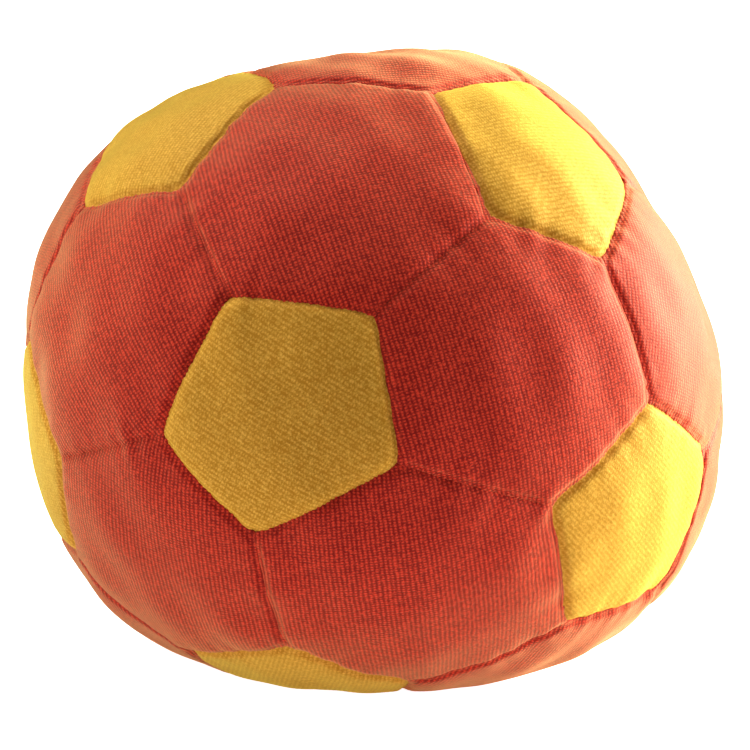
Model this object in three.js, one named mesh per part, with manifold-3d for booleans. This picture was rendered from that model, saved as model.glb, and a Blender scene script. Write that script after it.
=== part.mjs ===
// A soft juggling ball: thirty-two velour panels sewn into a round cover, stuffed with fibre around a pouch
// of pellets. Millimetres, +Z up. The origin lies on the surface that the ball rests on, under its centre.
// The ball's front faces -Y, and the seam that was closed by hand is behind, on the +Y side.

import * as THREE from "three";
import { mergeVertices } from "three/addons/utils/BufferGeometryUtils.js";
import Module from "manifold-3d";

const wasm = await Module();
wasm.setup();

// ---- Driving dimensions, mm and degrees ------------------------------------------------------------------

// The ball: a squat ellipsoid that sits on a flattened foot.
const HALF_WIDTH = 51; // centre to cover, level
const HALF_HEIGHT = 48.2; // centre to cover, upright, before the foot is pressed flat
const FOOT_PRESS = 4.2; // how far the foot is pressed up under the ball's own weight
const LUMP_WIDTH = 24; // degrees over which a lump or hollow fades

// Lumps and hollows of the stuffing: where they lie (degrees round from +X and up from level), how high.
const LUMPS = [
  { round: 10, up: 29, height: -3.7 },
  { round: 32, up: 61, height: 0.7 },
  { round: 113, up: 72, height: -3.9 },
  { round: 182, up: -6, height: -2.1 },
  { round: 191, up: -32, height: 1.0 },
  { round: 263, up: -73, height: -3.1 },
  { round: 348, up: -34, height: 3.4 },
];

// How the panel pattern is turned in the resting ball: about Z, then the turned X, then the turned Z.
const PATTERN_TURN = [-12.5, 79.5, 123.5];

// Corners that drifted in the sewing, because panels never meet quite evenly: a pentagon, the pentagon that
// its corner points to, and how far the corner moved on the cover, east (anticlockwise from above) and north.
const DRIFTED_CORNERS = [
  [0, 1, 1.5, 0.5],
  [0, 3, -3, 0],
  [0, 4, -1.5, 0],
  [1, 0, 2, -1],
  [1, 2, 2, 0],
  [1, 5, -1, 1],
  [2, 0, -0.5, -1.5],
  [3, 4, -1, -1.5],
  [4, 3, 3, -2.5],
  [4, 8, 2.5, -1.5],
  [5, 0, 1, -1],
  [5, 1, 1, 1.5],
  [5, 4, -2.5, 0],
  [5, 9, -3, 0],
  [5, 10, 1.5, 0],
];

// The cover.
const VELOUR = 1.2; // thickness, pile and backing
const SEAM_ALLOWANCE = 5; // turned inwards from the back of the velour
const ALLOWANCE_THICKNESS = 1.0; // velour squeezed flat in the seam
const ALLOWANCE_GAP = 0.3; // between the two allowances of a seam
const VALLEY_DEPTH = 0.5; // depth of the groove along a seam
const VALLEY_ROLL = 0.4; // width of the rolled edge on each side of the groove
const PANEL_STEPS = 2; // straight pieces in each side of a panel

// The threads.
const THREAD_WIDTH = 0.4; // across the seam
const THREAD_HEIGHT = 0.7; // into the ball
const THREAD_CLEARANCE = 0.3; // thread to velour
const THREAD_SINK = 0.4; // below the bottom of the groove
const THREAD_END_CLEARANCE = 0.6; // where one seam's thread stops at another's
const CLOSING_PENTAGON = 6; // the joining seam is closed by hand along this pentagon and one side beyond it

// The filling.
const FILL_CLEARANCE = 0.3; // stuffing to cover, stuffing to pouch, pellets to pouch
const WAD_GAP = 0.3; // between the two wads of stuffing
const POUCH_RADIUS = 28; // where the pouch's bulge meets its flat rim
const POUCH_HALF_HEIGHT = 24;
const POUCH_RIM = 3; // width of the flat rim that is sewn
const POUCH_CLOTH = 0.5; // thickness
const POUCH_THREAD_HEIGHT = 0.4;
const POUCH_THREAD_WIDTH = 1;
const POUCH_FACETS = 20; // round the pouch
const POUCH_ARC_STEPS = 6; // from its pole to its rim

// ---- Colours ---------------------------------------------------------------------------------------------

const YELLOW_VELOUR = 0xf4cf3e;
const RED_VELOUR = 0xd9482a;
const RED_THREAD = 0xa83020;
const WHITE_FIBRE = 0xf2f0ea;
const PLAIN_COTTON = 0xe6dfcf;
const WHITE_THREAD = 0xf0ece0;
const PALE_PELLETS = 0xd8d8d2;

// ---- Helpers ---------------------------------------------------------------------------------------------

const CENTRE_HEIGHT = HALF_HEIGHT - FOOT_PRESS; // above the surface that the ball rests on
const DEPTH_PASSES = 5;
const FLAT_TOLERANCE = 1e-3;
const radians = THREE.MathUtils.degToRad;

// The unit direction that lies so many degrees round from +X and up from level.
function direction(round, up) {
  const level = Math.cos(radians(up));
  return new THREE.Vector3(
    level * Math.cos(radians(round)),
    level * Math.sin(radians(round)),
    Math.sin(radians(up)),
  );
}

// The unit direction a share of the way from one direction to another, on their great circle.
function between(from, to, share) {
  return from.clone().lerp(to, share).normalize();
}

// ---- The shape of the ball -------------------------------------------------------------------------------

// The distance from the ball's centre to the outside of the cover in a direction.
function coverRadius(dir) {
  const level = (dir.x ** 2 + dir.y ** 2) / HALF_WIDTH ** 2;
  let radius = 1 / Math.sqrt(level + dir.z ** 2 / HALF_HEIGHT ** 2);
  for (const lump of LUMPS) {
    const away = dir.angleTo(direction(lump.round, lump.up)) / radians(LUMP_WIDTH);
    radius += lump.height * Math.exp(-(away ** 2));
  }
  return dir.z < 0 ? Math.min(radius, CENTRE_HEIGHT / -dir.z) : radius;
}

// The point at a depth below the cover in a direction, moved sideways by a shift. A few passes slide it along
// the direction until its depth is right where the shift has taken it. The foot is left truly flat.
function coverPoint(dir, depth, shift = new THREE.Vector3()) {
  const point = dir.clone().multiplyScalar(coverRadius(dir) - depth).add(shift);
  for (let pass = 0; pass < DEPTH_PASSES; pass++) {
    const wanted = coverRadius(point.clone().normalize()) - depth;
    point.addScaledVector(dir, wanted - point.length());
  }
  point.z += CENTRE_HEIGHT;
  if (point.z < FLAT_TOLERANCE) point.z = 0;
  return point;
}

// ---- The panel pattern -----------------------------------------------------------------------------------

// The twelve pentagons' middles, before the pattern is turned: an icosahedron with a corner at each pole and
// two rings of five between them.
function pentagonMiddles() {
  const middles = [new THREE.Vector3(0, 0, 1)];
  const ringUp = THREE.MathUtils.radToDeg(Math.atan(1 / 2));
  for (let k = 0; k < 5; k++) middles.push(direction(72 * k, ringUp));
  for (let k = 0; k < 5; k++) middles.push(direction(72 * k + 36, -ringUp));
  middles.push(new THREE.Vector3(0, 0, -1));
  return middles;
}

const MIDDLES = pentagonMiddles();
const isNextTo = (i, j) => i !== j && MIDDLES[i].dot(MIDDLES[j]) > 0;

// A direction of the pattern as it lies in the resting ball, pressed down with the ball's height.
function turned(dir) {
  const z = new THREE.Vector3(0, 0, 1);
  const x = new THREE.Vector3(1, 0, 0);
  const result = dir.clone();
  result.applyAxisAngle(z, radians(PATTERN_TURN[2]));
  result.applyAxisAngle(x, radians(PATTERN_TURN[1]));
  result.applyAxisAngle(z, radians(PATTERN_TURN[0]));
  result.z *= HALF_HEIGHT / HALF_WIDTH;
  return result.normalize();
}

// A seam corner, where three panels meet: the corner of pentagon i that points to pentagon j, a third of the
// way to its middle.
function seamCorner(i, j) {
  const even = turned(between(MIDDLES[i], MIDDLES[j], 1 / 3));
  const drift = DRIFTED_CORNERS.find(([from, to]) => from === i && to === j);
  if (!drift) return even;
  const east = new THREE.Vector3(0, 0, 1).cross(even).normalize();
  const north = even.clone().cross(east);
  const radius = coverRadius(even);
  return even
    .addScaledVector(east, drift[2] / radius)
    .addScaledVector(north, drift[3] / radius)
    .normalize();
}

const CORNERS = new Map();
for (let i = 0; i < MIDDLES.length; i++) {
  for (let j = 0; j < MIDDLES.length; j++) {
    if (isNextTo(i, j)) CORNERS.set(i + ">" + j, seamCorner(i, j));
  }
}

// The neighbours of pentagon i, anticlockwise seen from outside.
function neighboursOf(i) {
  const middle = MIDDLES[i];
  const near = MIDDLES.map((_, j) => j).filter((j) => isNextTo(i, j));
  const start = MIDDLES[near[0]].clone().projectOnPlane(middle).normalize();
  const side = middle.clone().cross(start);
  const turn = (j) => Math.atan2(MIDDLES[j].dot(side), MIDDLES[j].dot(start));
  return near.sort((a, b) => turn(a) - turn(b));
}

// A panel: its name, its corners anticlockwise seen from outside, and its half of the cover. The front half
// holds pentagons 0 to 5, and each hexagon goes with most of the pentagons round it.
function listPanels() {
  const panels = [];
  const numbered = (kind, n) => kind + "_panel_" + String(n).padStart(2, "0");
  for (let i = 0; i < MIDDLES.length; i++) {
    const corners = neighboursOf(i).map((j) => i + ">" + j);
    panels.push({ name: numbered("pentagon", i + 1), corners, front: i < 6 });
  }
  let count = 0;
  for (let i = 0; i < MIDDLES.length; i++) {
    const near = neighboursOf(i);
    near.forEach((j, n) => {
      const k = near[(n + 1) % near.length];
      if (j < i || k < i) return;
      const corners = [`${i}>${j}`, `${j}>${i}`, `${j}>${k}`, `${k}>${j}`, `${k}>${i}`, `${i}>${k}`];
      const front = [i, j, k].filter((p) => p < 6).length >= 2;
      panels.push({ name: numbered("hexagon", ++count), corners, front });
    });
  }
  for (const panel of panels) {
    panel.directions = panel.corners.map((c) => CORNERS.get(c));
    panel.middle = panel.directions.reduce((sum, d) => sum.add(d), new THREE.Vector3()).normalize();
    panel.isPentagon = panel.corners.length === 5;
  }
  return panels;
}

const PANELS = listPanels();

// The shift, square to a corner's direction, that lies a distance inside both sides of the panel there.
function cornerShift(panel, n, inside) {
  const count = panel.directions.length;
  const here = panel.directions[n];
  const before = panel.directions[(n + count - 1) % count].clone().cross(here).normalize();
  const after = here.clone().cross(panel.directions[(n + 1) % count]).normalize();
  const spread = inside / (1 + before.dot(after));
  return before.add(after).multiplyScalar(spread);
}

// A ring of points round a panel, a distance inside its seams and at a depth. Each side keeps that distance
// from the plane through its seam and the ball's centre.
function panelRing(panel, inside, depth) {
  const ring = [];
  panel.directions.forEach((from, n) => {
    const next = (n + 1) % panel.directions.length;
    const to = panel.directions[next];
    const shiftFrom = cornerShift(panel, n, inside);
    const shiftTo = cornerShift(panel, next, inside);
    for (let step = 0; step < PANEL_STEPS; step++) {
      const share = step / PANEL_STEPS;
      const shift = shiftFrom.clone().lerp(shiftTo, share);
      ring.push(coverPoint(between(from, to, share), depth, shift));
    }
  });
  return ring;
}

// A ring half-way between the middle of a panel and its seams.
function middleRing(panel, depth) {
  const ring = [];
  panel.directions.forEach((from, n) => {
    const to = panel.directions[(n + 1) % panel.directions.length];
    for (let step = 0; step < PANEL_STEPS; step++) {
      const edge = between(from, to, step / PANEL_STEPS);
      ring.push(coverPoint(between(panel.middle, edge, 0.5), depth));
    }
  });
  return ring;
}

// ---- Surfaces from rings ---------------------------------------------------------------------------------

// Triangles between two rings of as many points, cut along the shorter diagonal. The first ring lies to the
// left of the second as it is walked.
function joinRings(triangles, first, second) {
  first.forEach((a, n) => {
    const next = (n + 1) % first.length;
    const b = second[n];
    const c = second[next];
    const d = first[next];
    if (a.distanceTo(c) <= b.distanceTo(d)) triangles.push([a, b, c], [a, c, d]);
    else triangles.push([a, b, d], [b, c, d]);
  });
}

// Triangles from a middle point to a ring that runs anticlockwise round it.
function fan(triangles, middle, ring) {
  ring.forEach((a, n) => triangles.push([middle, a, ring[(n + 1) % ring.length]]));
}

// One closed geometry from a list of triangles.
function geometryOf(triangles) {
  const real = triangles.filter(([a, b, c]) => !a.equals(b) && !b.equals(c) && !c.equals(a));
  const geometry = new THREE.BufferGeometry().setFromPoints(real.flat());
  return mergeVertices(geometry, 1e-4);
}

// ---- The cover -------------------------------------------------------------------------------------------

const SEAM_WALL = THREAD_WIDTH / 2 + THREAD_CLEARANCE; // seam plane to velour beside the thread
const THREAD_TOP = VALLEY_DEPTH + THREAD_SINK;
const THREAD_BOTTOM = THREAD_TOP + THREAD_HEIGHT;
const ALLOWANCE_OUTSIDE = ALLOWANCE_GAP / 2;
const ALLOWANCE_INSIDE = ALLOWANCE_OUTSIDE + ALLOWANCE_THICKNESS;
const ALLOWANCE_TIP = VELOUR + SEAM_ALLOWANCE;

// A panel with its seam allowance turned inwards: the pile side, the rolled edge, the wall beside the thread,
// the allowance down to its cut edge and up its other face, and the back of the cloth.
function panelGeometry(panel) {
  const wallFoot = THREAD_BOTTOM + THREAD_CLEARANCE;
  const rings = [
    middleRing(panel, 0),
    panelRing(panel, SEAM_WALL + VALLEY_ROLL, 0),
    panelRing(panel, SEAM_WALL, VALLEY_DEPTH),
    panelRing(panel, SEAM_WALL, wallFoot),
    panelRing(panel, ALLOWANCE_OUTSIDE, wallFoot + SEAM_WALL - ALLOWANCE_OUTSIDE),
    panelRing(panel, ALLOWANCE_OUTSIDE, ALLOWANCE_TIP),
    panelRing(panel, ALLOWANCE_INSIDE, ALLOWANCE_TIP),
    panelRing(panel, ALLOWANCE_INSIDE, VELOUR),
    middleRing(panel, VELOUR),
  ];
  const triangles = [];
  fan(triangles, coverPoint(panel.middle, 0), rings[0]);
  for (let n = 1; n < rings.length; n++) joinRings(triangles, rings[n - 1], rings[n]);
  fan(triangles, coverPoint(panel.middle, VELOUR), rings.at(-1).toReversed());
  return geometryOf(triangles);
}

// ---- Sides and corners -----------------------------------------------------------------------------------

// Every side that two panels share. The first panel walks it from one corner to the other, and the second
// walks it back.
function listSeams() {
  const seams = new Map();
  for (const panel of PANELS) {
    panel.corners.forEach((from, n) => {
      const to = panel.corners[(n + 1) % panel.corners.length];
      const key = [from, to].sort().join(" ");
      if (!seams.has(key)) seams.set(key, { from, to, panels: [] });
      seams.get(key).panels.push(panel);
    });
  }
  return [...seams.values()];
}

const SEAMS = listSeams();
const seamBetween = (one, other) => SEAMS.find((s) => [s.from, s.to].every((c) => c === one || c === other));

// The three panels that meet at a corner, anticlockwise from outside, each with the seam that follows it.
function roundCorner(corner) {
  const next = (panel, step) => {
    const count = panel.corners.length;
    return panel.corners[(panel.corners.indexOf(corner) + count + step) % count];
  };
  const panels = PANELS.filter((panel) => panel.corners.includes(corner));
  const ordered = [panels[0]];
  while (ordered.length < panels.length) {
    const before = next(ordered.at(-1), -1);
    ordered.push(panels.find((panel) => next(panel, 1) === before));
  }
  return ordered.map((panel) => ({ panel, seam: seamBetween(corner, next(panel, -1)) }));
}

// The ring of every panel at a distance inside its seams and a depth, by panel name.
function ringsAt(inside, depth) {
  return new Map(PANELS.map((panel) => [panel.name, panelRing(panel, inside, depth)]));
}

// The points of a panel's ring along the side that starts at a corner.
function alongSide(rings, panel, from) {
  const ring = rings.get(panel.name);
  const start = panel.corners.indexOf(from) * PANEL_STEPS;
  return Array.from({ length: PANEL_STEPS + 1 }, (_, n) => ring[(start + n) % ring.length]);
}

// The points on both sides of a seam, from its first corner to its second: [left, right] at each step.
function acrossSeam(rings, seam) {
  const left = alongSide(rings, seam.panels[0], seam.from);
  const right = alongSide(rings, seam.panels[1], seam.to).toReversed();
  return left.map((point, n) => [point, right[n]]);
}

// The three points of the panels' rings round a corner, anticlockwise seen from outside.
function acrossCorner(rings, corner) {
  return roundCorner(corner).map(({ panel }) => alongSide(rings, panel, corner)[0]);
}

// ---- The threads -----------------------------------------------------------------------------------------

// Sorts the seams into the two machine-sewn halves, the joining seam between them, and the closing seam: the
// stretch of the joining seam that was left open for the stuffing and then closed by hand.
function sortSeams() {
  const atClosing = (corner) => corner.startsWith(CLOSING_PENTAGON + ">");
  for (const seam of SEAMS) {
    const fronts = seam.panels.filter((panel) => panel.front).length;
    seam.group = ["back_half", "joining", "front_half"][fronts];
    if (fronts === 1 && (atClosing(seam.from) || atClosing(seam.to))) seam.group = "closing";
  }
}

sortSeams();

// The seam whose thread runs through a corner: the joining seam comes before the closing seam, and both come
// before the seams inside a half.
function threadThrough(corner) {
  const groups = roundCorner(corner).map(({ seam }) => seam.group);
  return ["joining", "closing", "front_half", "back_half"].find((group) => groups.includes(group));
}

// The corners of a thread's section, looking along its seam: top left, top right, bottom right, bottom left.
const sectionOf = (top, bottom) => [top[0], top[1], bottom[1], bottom[0]];

// A section cut square across a thread, a share of the way along its side.
function cutSection(seam, share) {
  const from = CORNERS.get(seam.from);
  const to = CORNERS.get(seam.to);
  const left = from.clone().cross(to).normalize().multiplyScalar(THREAD_WIDTH / 2);
  const right = left.clone().negate();
  const across = (depth) => [left, right].map((shift) => coverPoint(between(from, to, share), depth, shift));
  return sectionOf(across(THREAD_TOP), across(THREAD_BOTTOM));
}

// The thread of one side: a flat bar under the groove. It is open at an end where it runs on through the
// corner. At a corner that another thread runs through, it stops short and is closed off.
function addThreadBar(triangles, seam, tops, bottoms) {
  const from = CORNERS.get(seam.from);
  const stopShort = THREAD_END_CLEARANCE / (from.angleTo(CORNERS.get(seam.to)) * coverRadius(from));
  const top = acrossSeam(tops, seam);
  const bottom = acrossSeam(bottoms, seam);
  const sections = top.map((pair, n) => sectionOf(pair, bottom[n]));
  if (threadThrough(seam.from) !== seam.group) {
    sections[0] = cutSection(seam, stopShort);
    const [a, b, c, d] = sections[0];
    triangles.push([c, b, a], [d, c, a]);
  }
  if (threadThrough(seam.to) !== seam.group) {
    sections[PANEL_STEPS] = cutSection(seam, 1 - stopShort);
    const [a, b, c, d] = sections[PANEL_STEPS];
    triangles.push([a, b, c], [a, c, d]);
  }
  for (let n = 0; n < PANEL_STEPS; n++) joinRings(triangles, sections[n + 1], sections[n]);
}

// The three-sided knot of thread at a corner, open towards the sides that the same thread runs along.
function addThreadKnot(triangles, corner, group, tops, bottoms) {
  const top = acrossCorner(tops, corner);
  const bottom = acrossCorner(bottoms, corner);
  triangles.push(top, bottom.toReversed());
  roundCorner(corner).forEach(({ seam }, n) => {
    if (seam.group === group) return;
    const next = (n + 1) % 3;
    triangles.push([top[next], top[n], bottom[n]], [top[next], bottom[n], bottom[next]]);
  });
}

// One seam thread: all its sides, and the corners that it runs through.
function threadGeometry(group) {
  const tops = ringsAt(THREAD_WIDTH / 2, THREAD_TOP);
  const bottoms = ringsAt(THREAD_WIDTH / 2, THREAD_BOTTOM);
  const triangles = [];
  for (const seam of SEAMS) {
    if (seam.group === group) addThreadBar(triangles, seam, tops, bottoms);
  }
  for (const corner of CORNERS.keys()) {
    if (threadThrough(corner) === group) addThreadKnot(triangles, corner, group, tops, bottoms);
  }
  return geometryOf(triangles);
}

// ---- The pouch of pellets --------------------------------------------------------------------------------

const POUCH_RIM_GAP = POUCH_THREAD_HEIGHT / 2 + THREAD_CLEARANCE; // middle of the rim to either disc
const CENTRE = new THREE.Vector3(0, 0, CENTRE_HEIGHT);

// Points of a quarter ellipse from the pole down to a level and a radius, as [radius, height] points.
function bulge(radius, height, floor) {
  const points = [];
  for (let step = 0; step <= POUCH_ARC_STEPS; step++) {
    const turn = (step / POUCH_ARC_STEPS) * (Math.PI / 2);
    points.push(new THREE.Vector2(radius * Math.sin(turn), floor + (height - floor) * Math.cos(turn)));
  }
  points[0].x = 0;
  points.at(-1).y = floor;
  return points;
}

// A solid of revolution about the upright axis through the ball's centre. The profile runs so that the solid
// lies on its left.
function turnedAboutCentre(profile) {
  const geometry = new THREE.LatheGeometry(profile, POUCH_FACETS);
  geometry.rotateX(Math.PI / 2);
  geometry.translate(CENTRE.x, CENTRE.y, CENTRE.z);
  return geometry;
}

// One cloth disc of the pouch, bulged by the pellets and flat at its sewn rim. Side is 1 above, -1 below.
function pouchDiscGeometry(side) {
  const outerFloor = POUCH_RIM_GAP + POUCH_CLOTH;
  const outside = bulge(POUCH_RADIUS, POUCH_HALF_HEIGHT, outerFloor);
  const inside = bulge(POUCH_RADIUS - POUCH_CLOTH, POUCH_HALF_HEIGHT - POUCH_CLOTH, POUCH_RIM_GAP);
  const rimEdge = POUCH_RADIUS + POUCH_RIM;
  const profile = [
    ...inside,
    new THREE.Vector2(rimEdge, POUCH_RIM_GAP),
    new THREE.Vector2(rimEdge, outerFloor),
    ...outside.toReversed(),
  ];
  const sided = profile.map((p) => new THREE.Vector2(p.x, side * p.y));
  return turnedAboutCentre(side > 0 ? sided : sided.toReversed());
}

function pouchThreadGeometry() {
  const middle = POUCH_RADIUS + POUCH_RIM / 2;
  const halfWidth = POUCH_THREAD_WIDTH / 2;
  const halfHeight = POUCH_THREAD_HEIGHT / 2;
  return turnedAboutCentre([
    new THREE.Vector2(middle - halfWidth, -halfHeight),
    new THREE.Vector2(middle + halfWidth, -halfHeight),
    new THREE.Vector2(middle + halfWidth, halfHeight),
    new THREE.Vector2(middle - halfWidth, halfHeight),
    new THREE.Vector2(middle - halfWidth, -halfHeight),
  ]);
}

// A closed lens: a bulge above, mirrored below, about the level of the ball's centre.
function lensGeometry(upper) {
  const lower = upper.map((p) => new THREE.Vector2(p.x, -p.y));
  return turnedAboutCentre([...lower, ...upper.toReversed()]);
}

function pelletFillGeometry() {
  const inset = POUCH_CLOTH + FILL_CLEARANCE;
  return lensGeometry(bulge(POUCH_RADIUS - inset, POUCH_HALF_HEIGHT - inset, POUCH_RIM_GAP));
}

// The hollow that the pouch lies in, rim and all.
function pouchHollowGeometry() {
  const rimTop = POUCH_RIM_GAP + POUCH_CLOTH + FILL_CLEARANCE;
  const rimEdge = POUCH_RADIUS + POUCH_RIM + FILL_CLEARANCE;
  const dome = bulge(POUCH_RADIUS + FILL_CLEARANCE, POUCH_HALF_HEIGHT + FILL_CLEARANCE, rimTop);
  return lensGeometry([...dome, new THREE.Vector2(rimEdge, rimTop)]);
}

// ---- Joins and cuts --------------------------------------------------------------------------------------

function toSolid(geometry) {
  const bare = geometry.clone();
  bare.deleteAttribute("normal");
  bare.deleteAttribute("uv");
  const merged = mergeVertices(bare, 1e-4);
  const vertProperties = merged.getAttribute("position").array;
  const triVerts = new Uint32Array(merged.index.array);
  return new wasm.Manifold(new wasm.Mesh({ numProp: 3, vertProperties, triVerts }));
}

function toGeometry(solid) {
  const mesh = solid.getMesh();
  const geometry = new THREE.BufferGeometry();
  geometry.setAttribute("position", new THREE.BufferAttribute(mesh.vertProperties, 3));
  geometry.setIndex(new THREE.BufferAttribute(mesh.triVerts, 1));
  return geometry;
}

// ---- The stuffing ----------------------------------------------------------------------------------------

// The whole stuffing: it fills each panel and leaves a groove for the allowances of each seam.
function stuffingGeometry() {
  const grooveWall = ALLOWANCE_INSIDE + FILL_CLEARANCE;
  const skin = VELOUR + FILL_CLEARANCE;
  const rims = ringsAt(grooveWall, skin);
  const floors = ringsAt(grooveWall, ALLOWANCE_TIP + FILL_CLEARANCE);
  const triangles = [];
  for (const panel of PANELS) {
    const middle = middleRing(panel, skin);
    fan(triangles, coverPoint(panel.middle, skin), middle);
    joinRings(triangles, middle, rims.get(panel.name));
    joinRings(triangles, rims.get(panel.name), floors.get(panel.name));
  }
  for (const seam of SEAMS) {
    const floor = acrossSeam(floors, seam);
    for (let n = 0; n < PANEL_STEPS; n++) {
      const [a, b] = floor[n];
      const [d, c] = floor[n + 1];
      triangles.push([a, b, c], [a, c, d]);
    }
  }
  for (const corner of CORNERS.keys()) triangles.push(acrossCorner(floors, corner));
  return geometryOf(triangles);
}

// All that lies in front of the parting between the wads (side 1) or behind it (side -1). The parting is a
// flat gap through the ball's centre, along the middle of the joining seam's zigzag.
function sideOfParting(side) {
  const beyond = 2 * (HALF_WIDTH + HALF_HEIGHT);
  const across = turned(new THREE.Vector3(1, 0, 0));
  const along = turned(new THREE.Vector3(0, 1, 0));
  const forwards = across.cross(along).normalize();
  const turn = new THREE.Quaternion().setFromUnitVectors(new THREE.Vector3(0, 0, 1), forwards);
  const block = new THREE.BoxGeometry(beyond, beyond, beyond);
  block.translate(0, 0, (side * (beyond + WAD_GAP)) / 2);
  block.applyQuaternion(turn);
  block.translate(CENTRE.x, CENTRE.y, CENTRE.z);
  return toSolid(block);
}

// One of the two wads of stuffing, with its share of the pouch's hollow.
function wadGeometry(side) {
  const whole = toSolid(stuffingGeometry()).subtract(toSolid(pouchHollowGeometry()));
  return toGeometry(whole.intersect(sideOfParting(side)));
}

// ---- The assembly ----------------------------------------------------------------------------------------

const cloth = (color) => new THREE.MeshStandardMaterial({ color, roughness: 0.95, metalness: 0 });
const plastic = (color) => new THREE.MeshStandardMaterial({ color, roughness: 0.5, metalness: 0 });

const MATERIALS = {
  yellowVelour: cloth(YELLOW_VELOUR),
  redVelour: cloth(RED_VELOUR),
  redThread: cloth(RED_THREAD),
  whiteFibre: cloth(WHITE_FIBRE),
  plainCotton: cloth(PLAIN_COTTON),
  whiteThread: cloth(WHITE_THREAD),
  palePellets: plastic(PALE_PELLETS),
};

function addPiece(group, name, geometry, material) {
  geometry.computeVertexNormals();
  const mesh = new THREE.Mesh(geometry, material);
  mesh.name = name;
  group.add(mesh);
}

function addCover(group) {
  for (const panel of PANELS) {
    const material = panel.isPentagon ? MATERIALS.yellowVelour : MATERIALS.redVelour;
    addPiece(group, panel.name, panelGeometry(panel), material);
  }
  for (const seam of ["front_half", "back_half", "joining", "closing"]) {
    addPiece(group, seam + "_seam_thread", threadGeometry(seam), MATERIALS.redThread);
  }
}

function addFilling(group) {
  addPiece(group, "front_stuffing_wad", wadGeometry(1), MATERIALS.whiteFibre);
  addPiece(group, "back_stuffing_wad", wadGeometry(-1), MATERIALS.whiteFibre);
  addPiece(group, "pouch_upper_disc", pouchDiscGeometry(1), MATERIALS.plainCotton);
  addPiece(group, "pouch_lower_disc", pouchDiscGeometry(-1), MATERIALS.plainCotton);
  addPiece(group, "pouch_seam_thread", pouchThreadGeometry(), MATERIALS.whiteThread);
  addPiece(group, "pellet_fill", pelletFillGeometry(), MATERIALS.palePellets);
}

const jugglingBall = new THREE.Group();
jugglingBall.name = "juggling_ball";
addCover(jugglingBall);
addFilling(jugglingBall);

export default jugglingBall;
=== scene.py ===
"""A soft juggling ball: velour panels sewn into a cover, stuffed with fibre round a pouch of pellets."""

import math

import bpy
import numpy as np
from bpy.props import FloatProperty, FloatVectorProperty, IntProperty, PointerProperty
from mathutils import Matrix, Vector


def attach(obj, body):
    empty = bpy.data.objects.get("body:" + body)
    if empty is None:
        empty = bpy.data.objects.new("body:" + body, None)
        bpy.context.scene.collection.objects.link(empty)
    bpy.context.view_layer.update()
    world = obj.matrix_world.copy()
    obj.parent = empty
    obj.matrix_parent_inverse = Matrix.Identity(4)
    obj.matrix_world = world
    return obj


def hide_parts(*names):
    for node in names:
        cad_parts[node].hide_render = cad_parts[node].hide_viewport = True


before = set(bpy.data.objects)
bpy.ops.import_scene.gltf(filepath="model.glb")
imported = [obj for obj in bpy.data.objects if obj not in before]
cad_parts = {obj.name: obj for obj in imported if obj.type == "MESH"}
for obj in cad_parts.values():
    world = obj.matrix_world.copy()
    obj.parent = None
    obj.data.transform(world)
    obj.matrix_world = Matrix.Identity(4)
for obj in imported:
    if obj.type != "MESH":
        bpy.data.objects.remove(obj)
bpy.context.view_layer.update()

bl_info = {
    "name": "Soft Juggling Ball",
    "version": (1, 0, 0),
    "blender": (4, 5, 0),
    "location": "3D View > Sidebar > Juggling Ball",
    "description": "Sews a velour juggling ball and fills it with stuffing and pellets",
    "category": "Add Mesh",
}

MM = 0.001
BODY = "root"
COVER_THREAD = "twisted_cover_thread"
KNIT_MAP = "KnitMap"
PLY_PITCH, COTTON_PITCH = 0.42, 0.5  # of the plies of a thread and of woven threads, in millimetres

# ---- The ball as it was cut and sewn ---------------------------------------------------------------------

# Lumps and hollows of the stuffing: degrees round from +X, degrees up from level, height in millimetres.
LUMPS = (
    (10, 29, -3.7),
    (32, 61, 0.7),
    (113, 72, -3.9),
    (182, -6, -2.1),
    (191, -32, 1.0),
    (263, -73, -3.1),
    (348, -34, 3.4),
)
LUMP_WIDTH = 24  # degrees over which a lump or hollow fades

# How the pattern is turned in the resting ball: about Z, then the turned X, then the turned Z, in degrees.
PATTERN_TURN = (-12.5, 79.5, 123.5)

# Corners that drifted in the sewing: a pentagon and the one its corner points to, then how far the corner
# moved on the cover, east (anticlockwise from above) and north, in millimetres.
DRIFTED_CORNERS = {
    (0, 1): (1.5, 0.5),
    (0, 3): (-3, 0),
    (0, 4): (-1.5, 0),
    (1, 0): (2, -1),
    (1, 2): (2, 0),
    (1, 5): (-1, 1),
    (2, 0): (-0.5, -1.5),
    (3, 4): (-1, -1.5),
    (4, 3): (3, -2.5),
    (4, 8): (2.5, -1.5),
    (5, 0): (1, -1),
    (5, 1): (1, 1.5),
    (5, 4): (-2.5, 0),
    (5, 9): (-3, 0),
    (5, 10): (1.5, 0),
}

# Which way each panel was cut from the knit: degrees of its wales from east, anticlockwise from outside.
CUT_GRAIN = {
    "pentagon_panel_01": 152,
    "pentagon_panel_02": 118,
    "pentagon_panel_03": 100,
    "pentagon_panel_04": 70,
    "pentagon_panel_05": 138,
    "pentagon_panel_06": 172,
    "hexagon_panel_01": 100,
    "hexagon_panel_02": 114,
    "hexagon_panel_03": 137,
    "hexagon_panel_04": 84,
    "hexagon_panel_05": 99,
}
PENTAGON_ROUNDING, HEXAGON_ROUNDING = 0.85 * MM, 0.3 * MM  # how far the panels' corners are rounded
FRONT_PENTAGONS = 6  # the first so many belong to the front half of the cover
CLOSING_PENTAGON = 6  # the joining seam was closed by hand along this pentagon and one side beyond it
FREE_GRAIN = (60, 120)  # between which degrees each panel that isn't listed was cut, at random
GRAIN_SEED, PELLET_SEED = 7, 51

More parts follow.
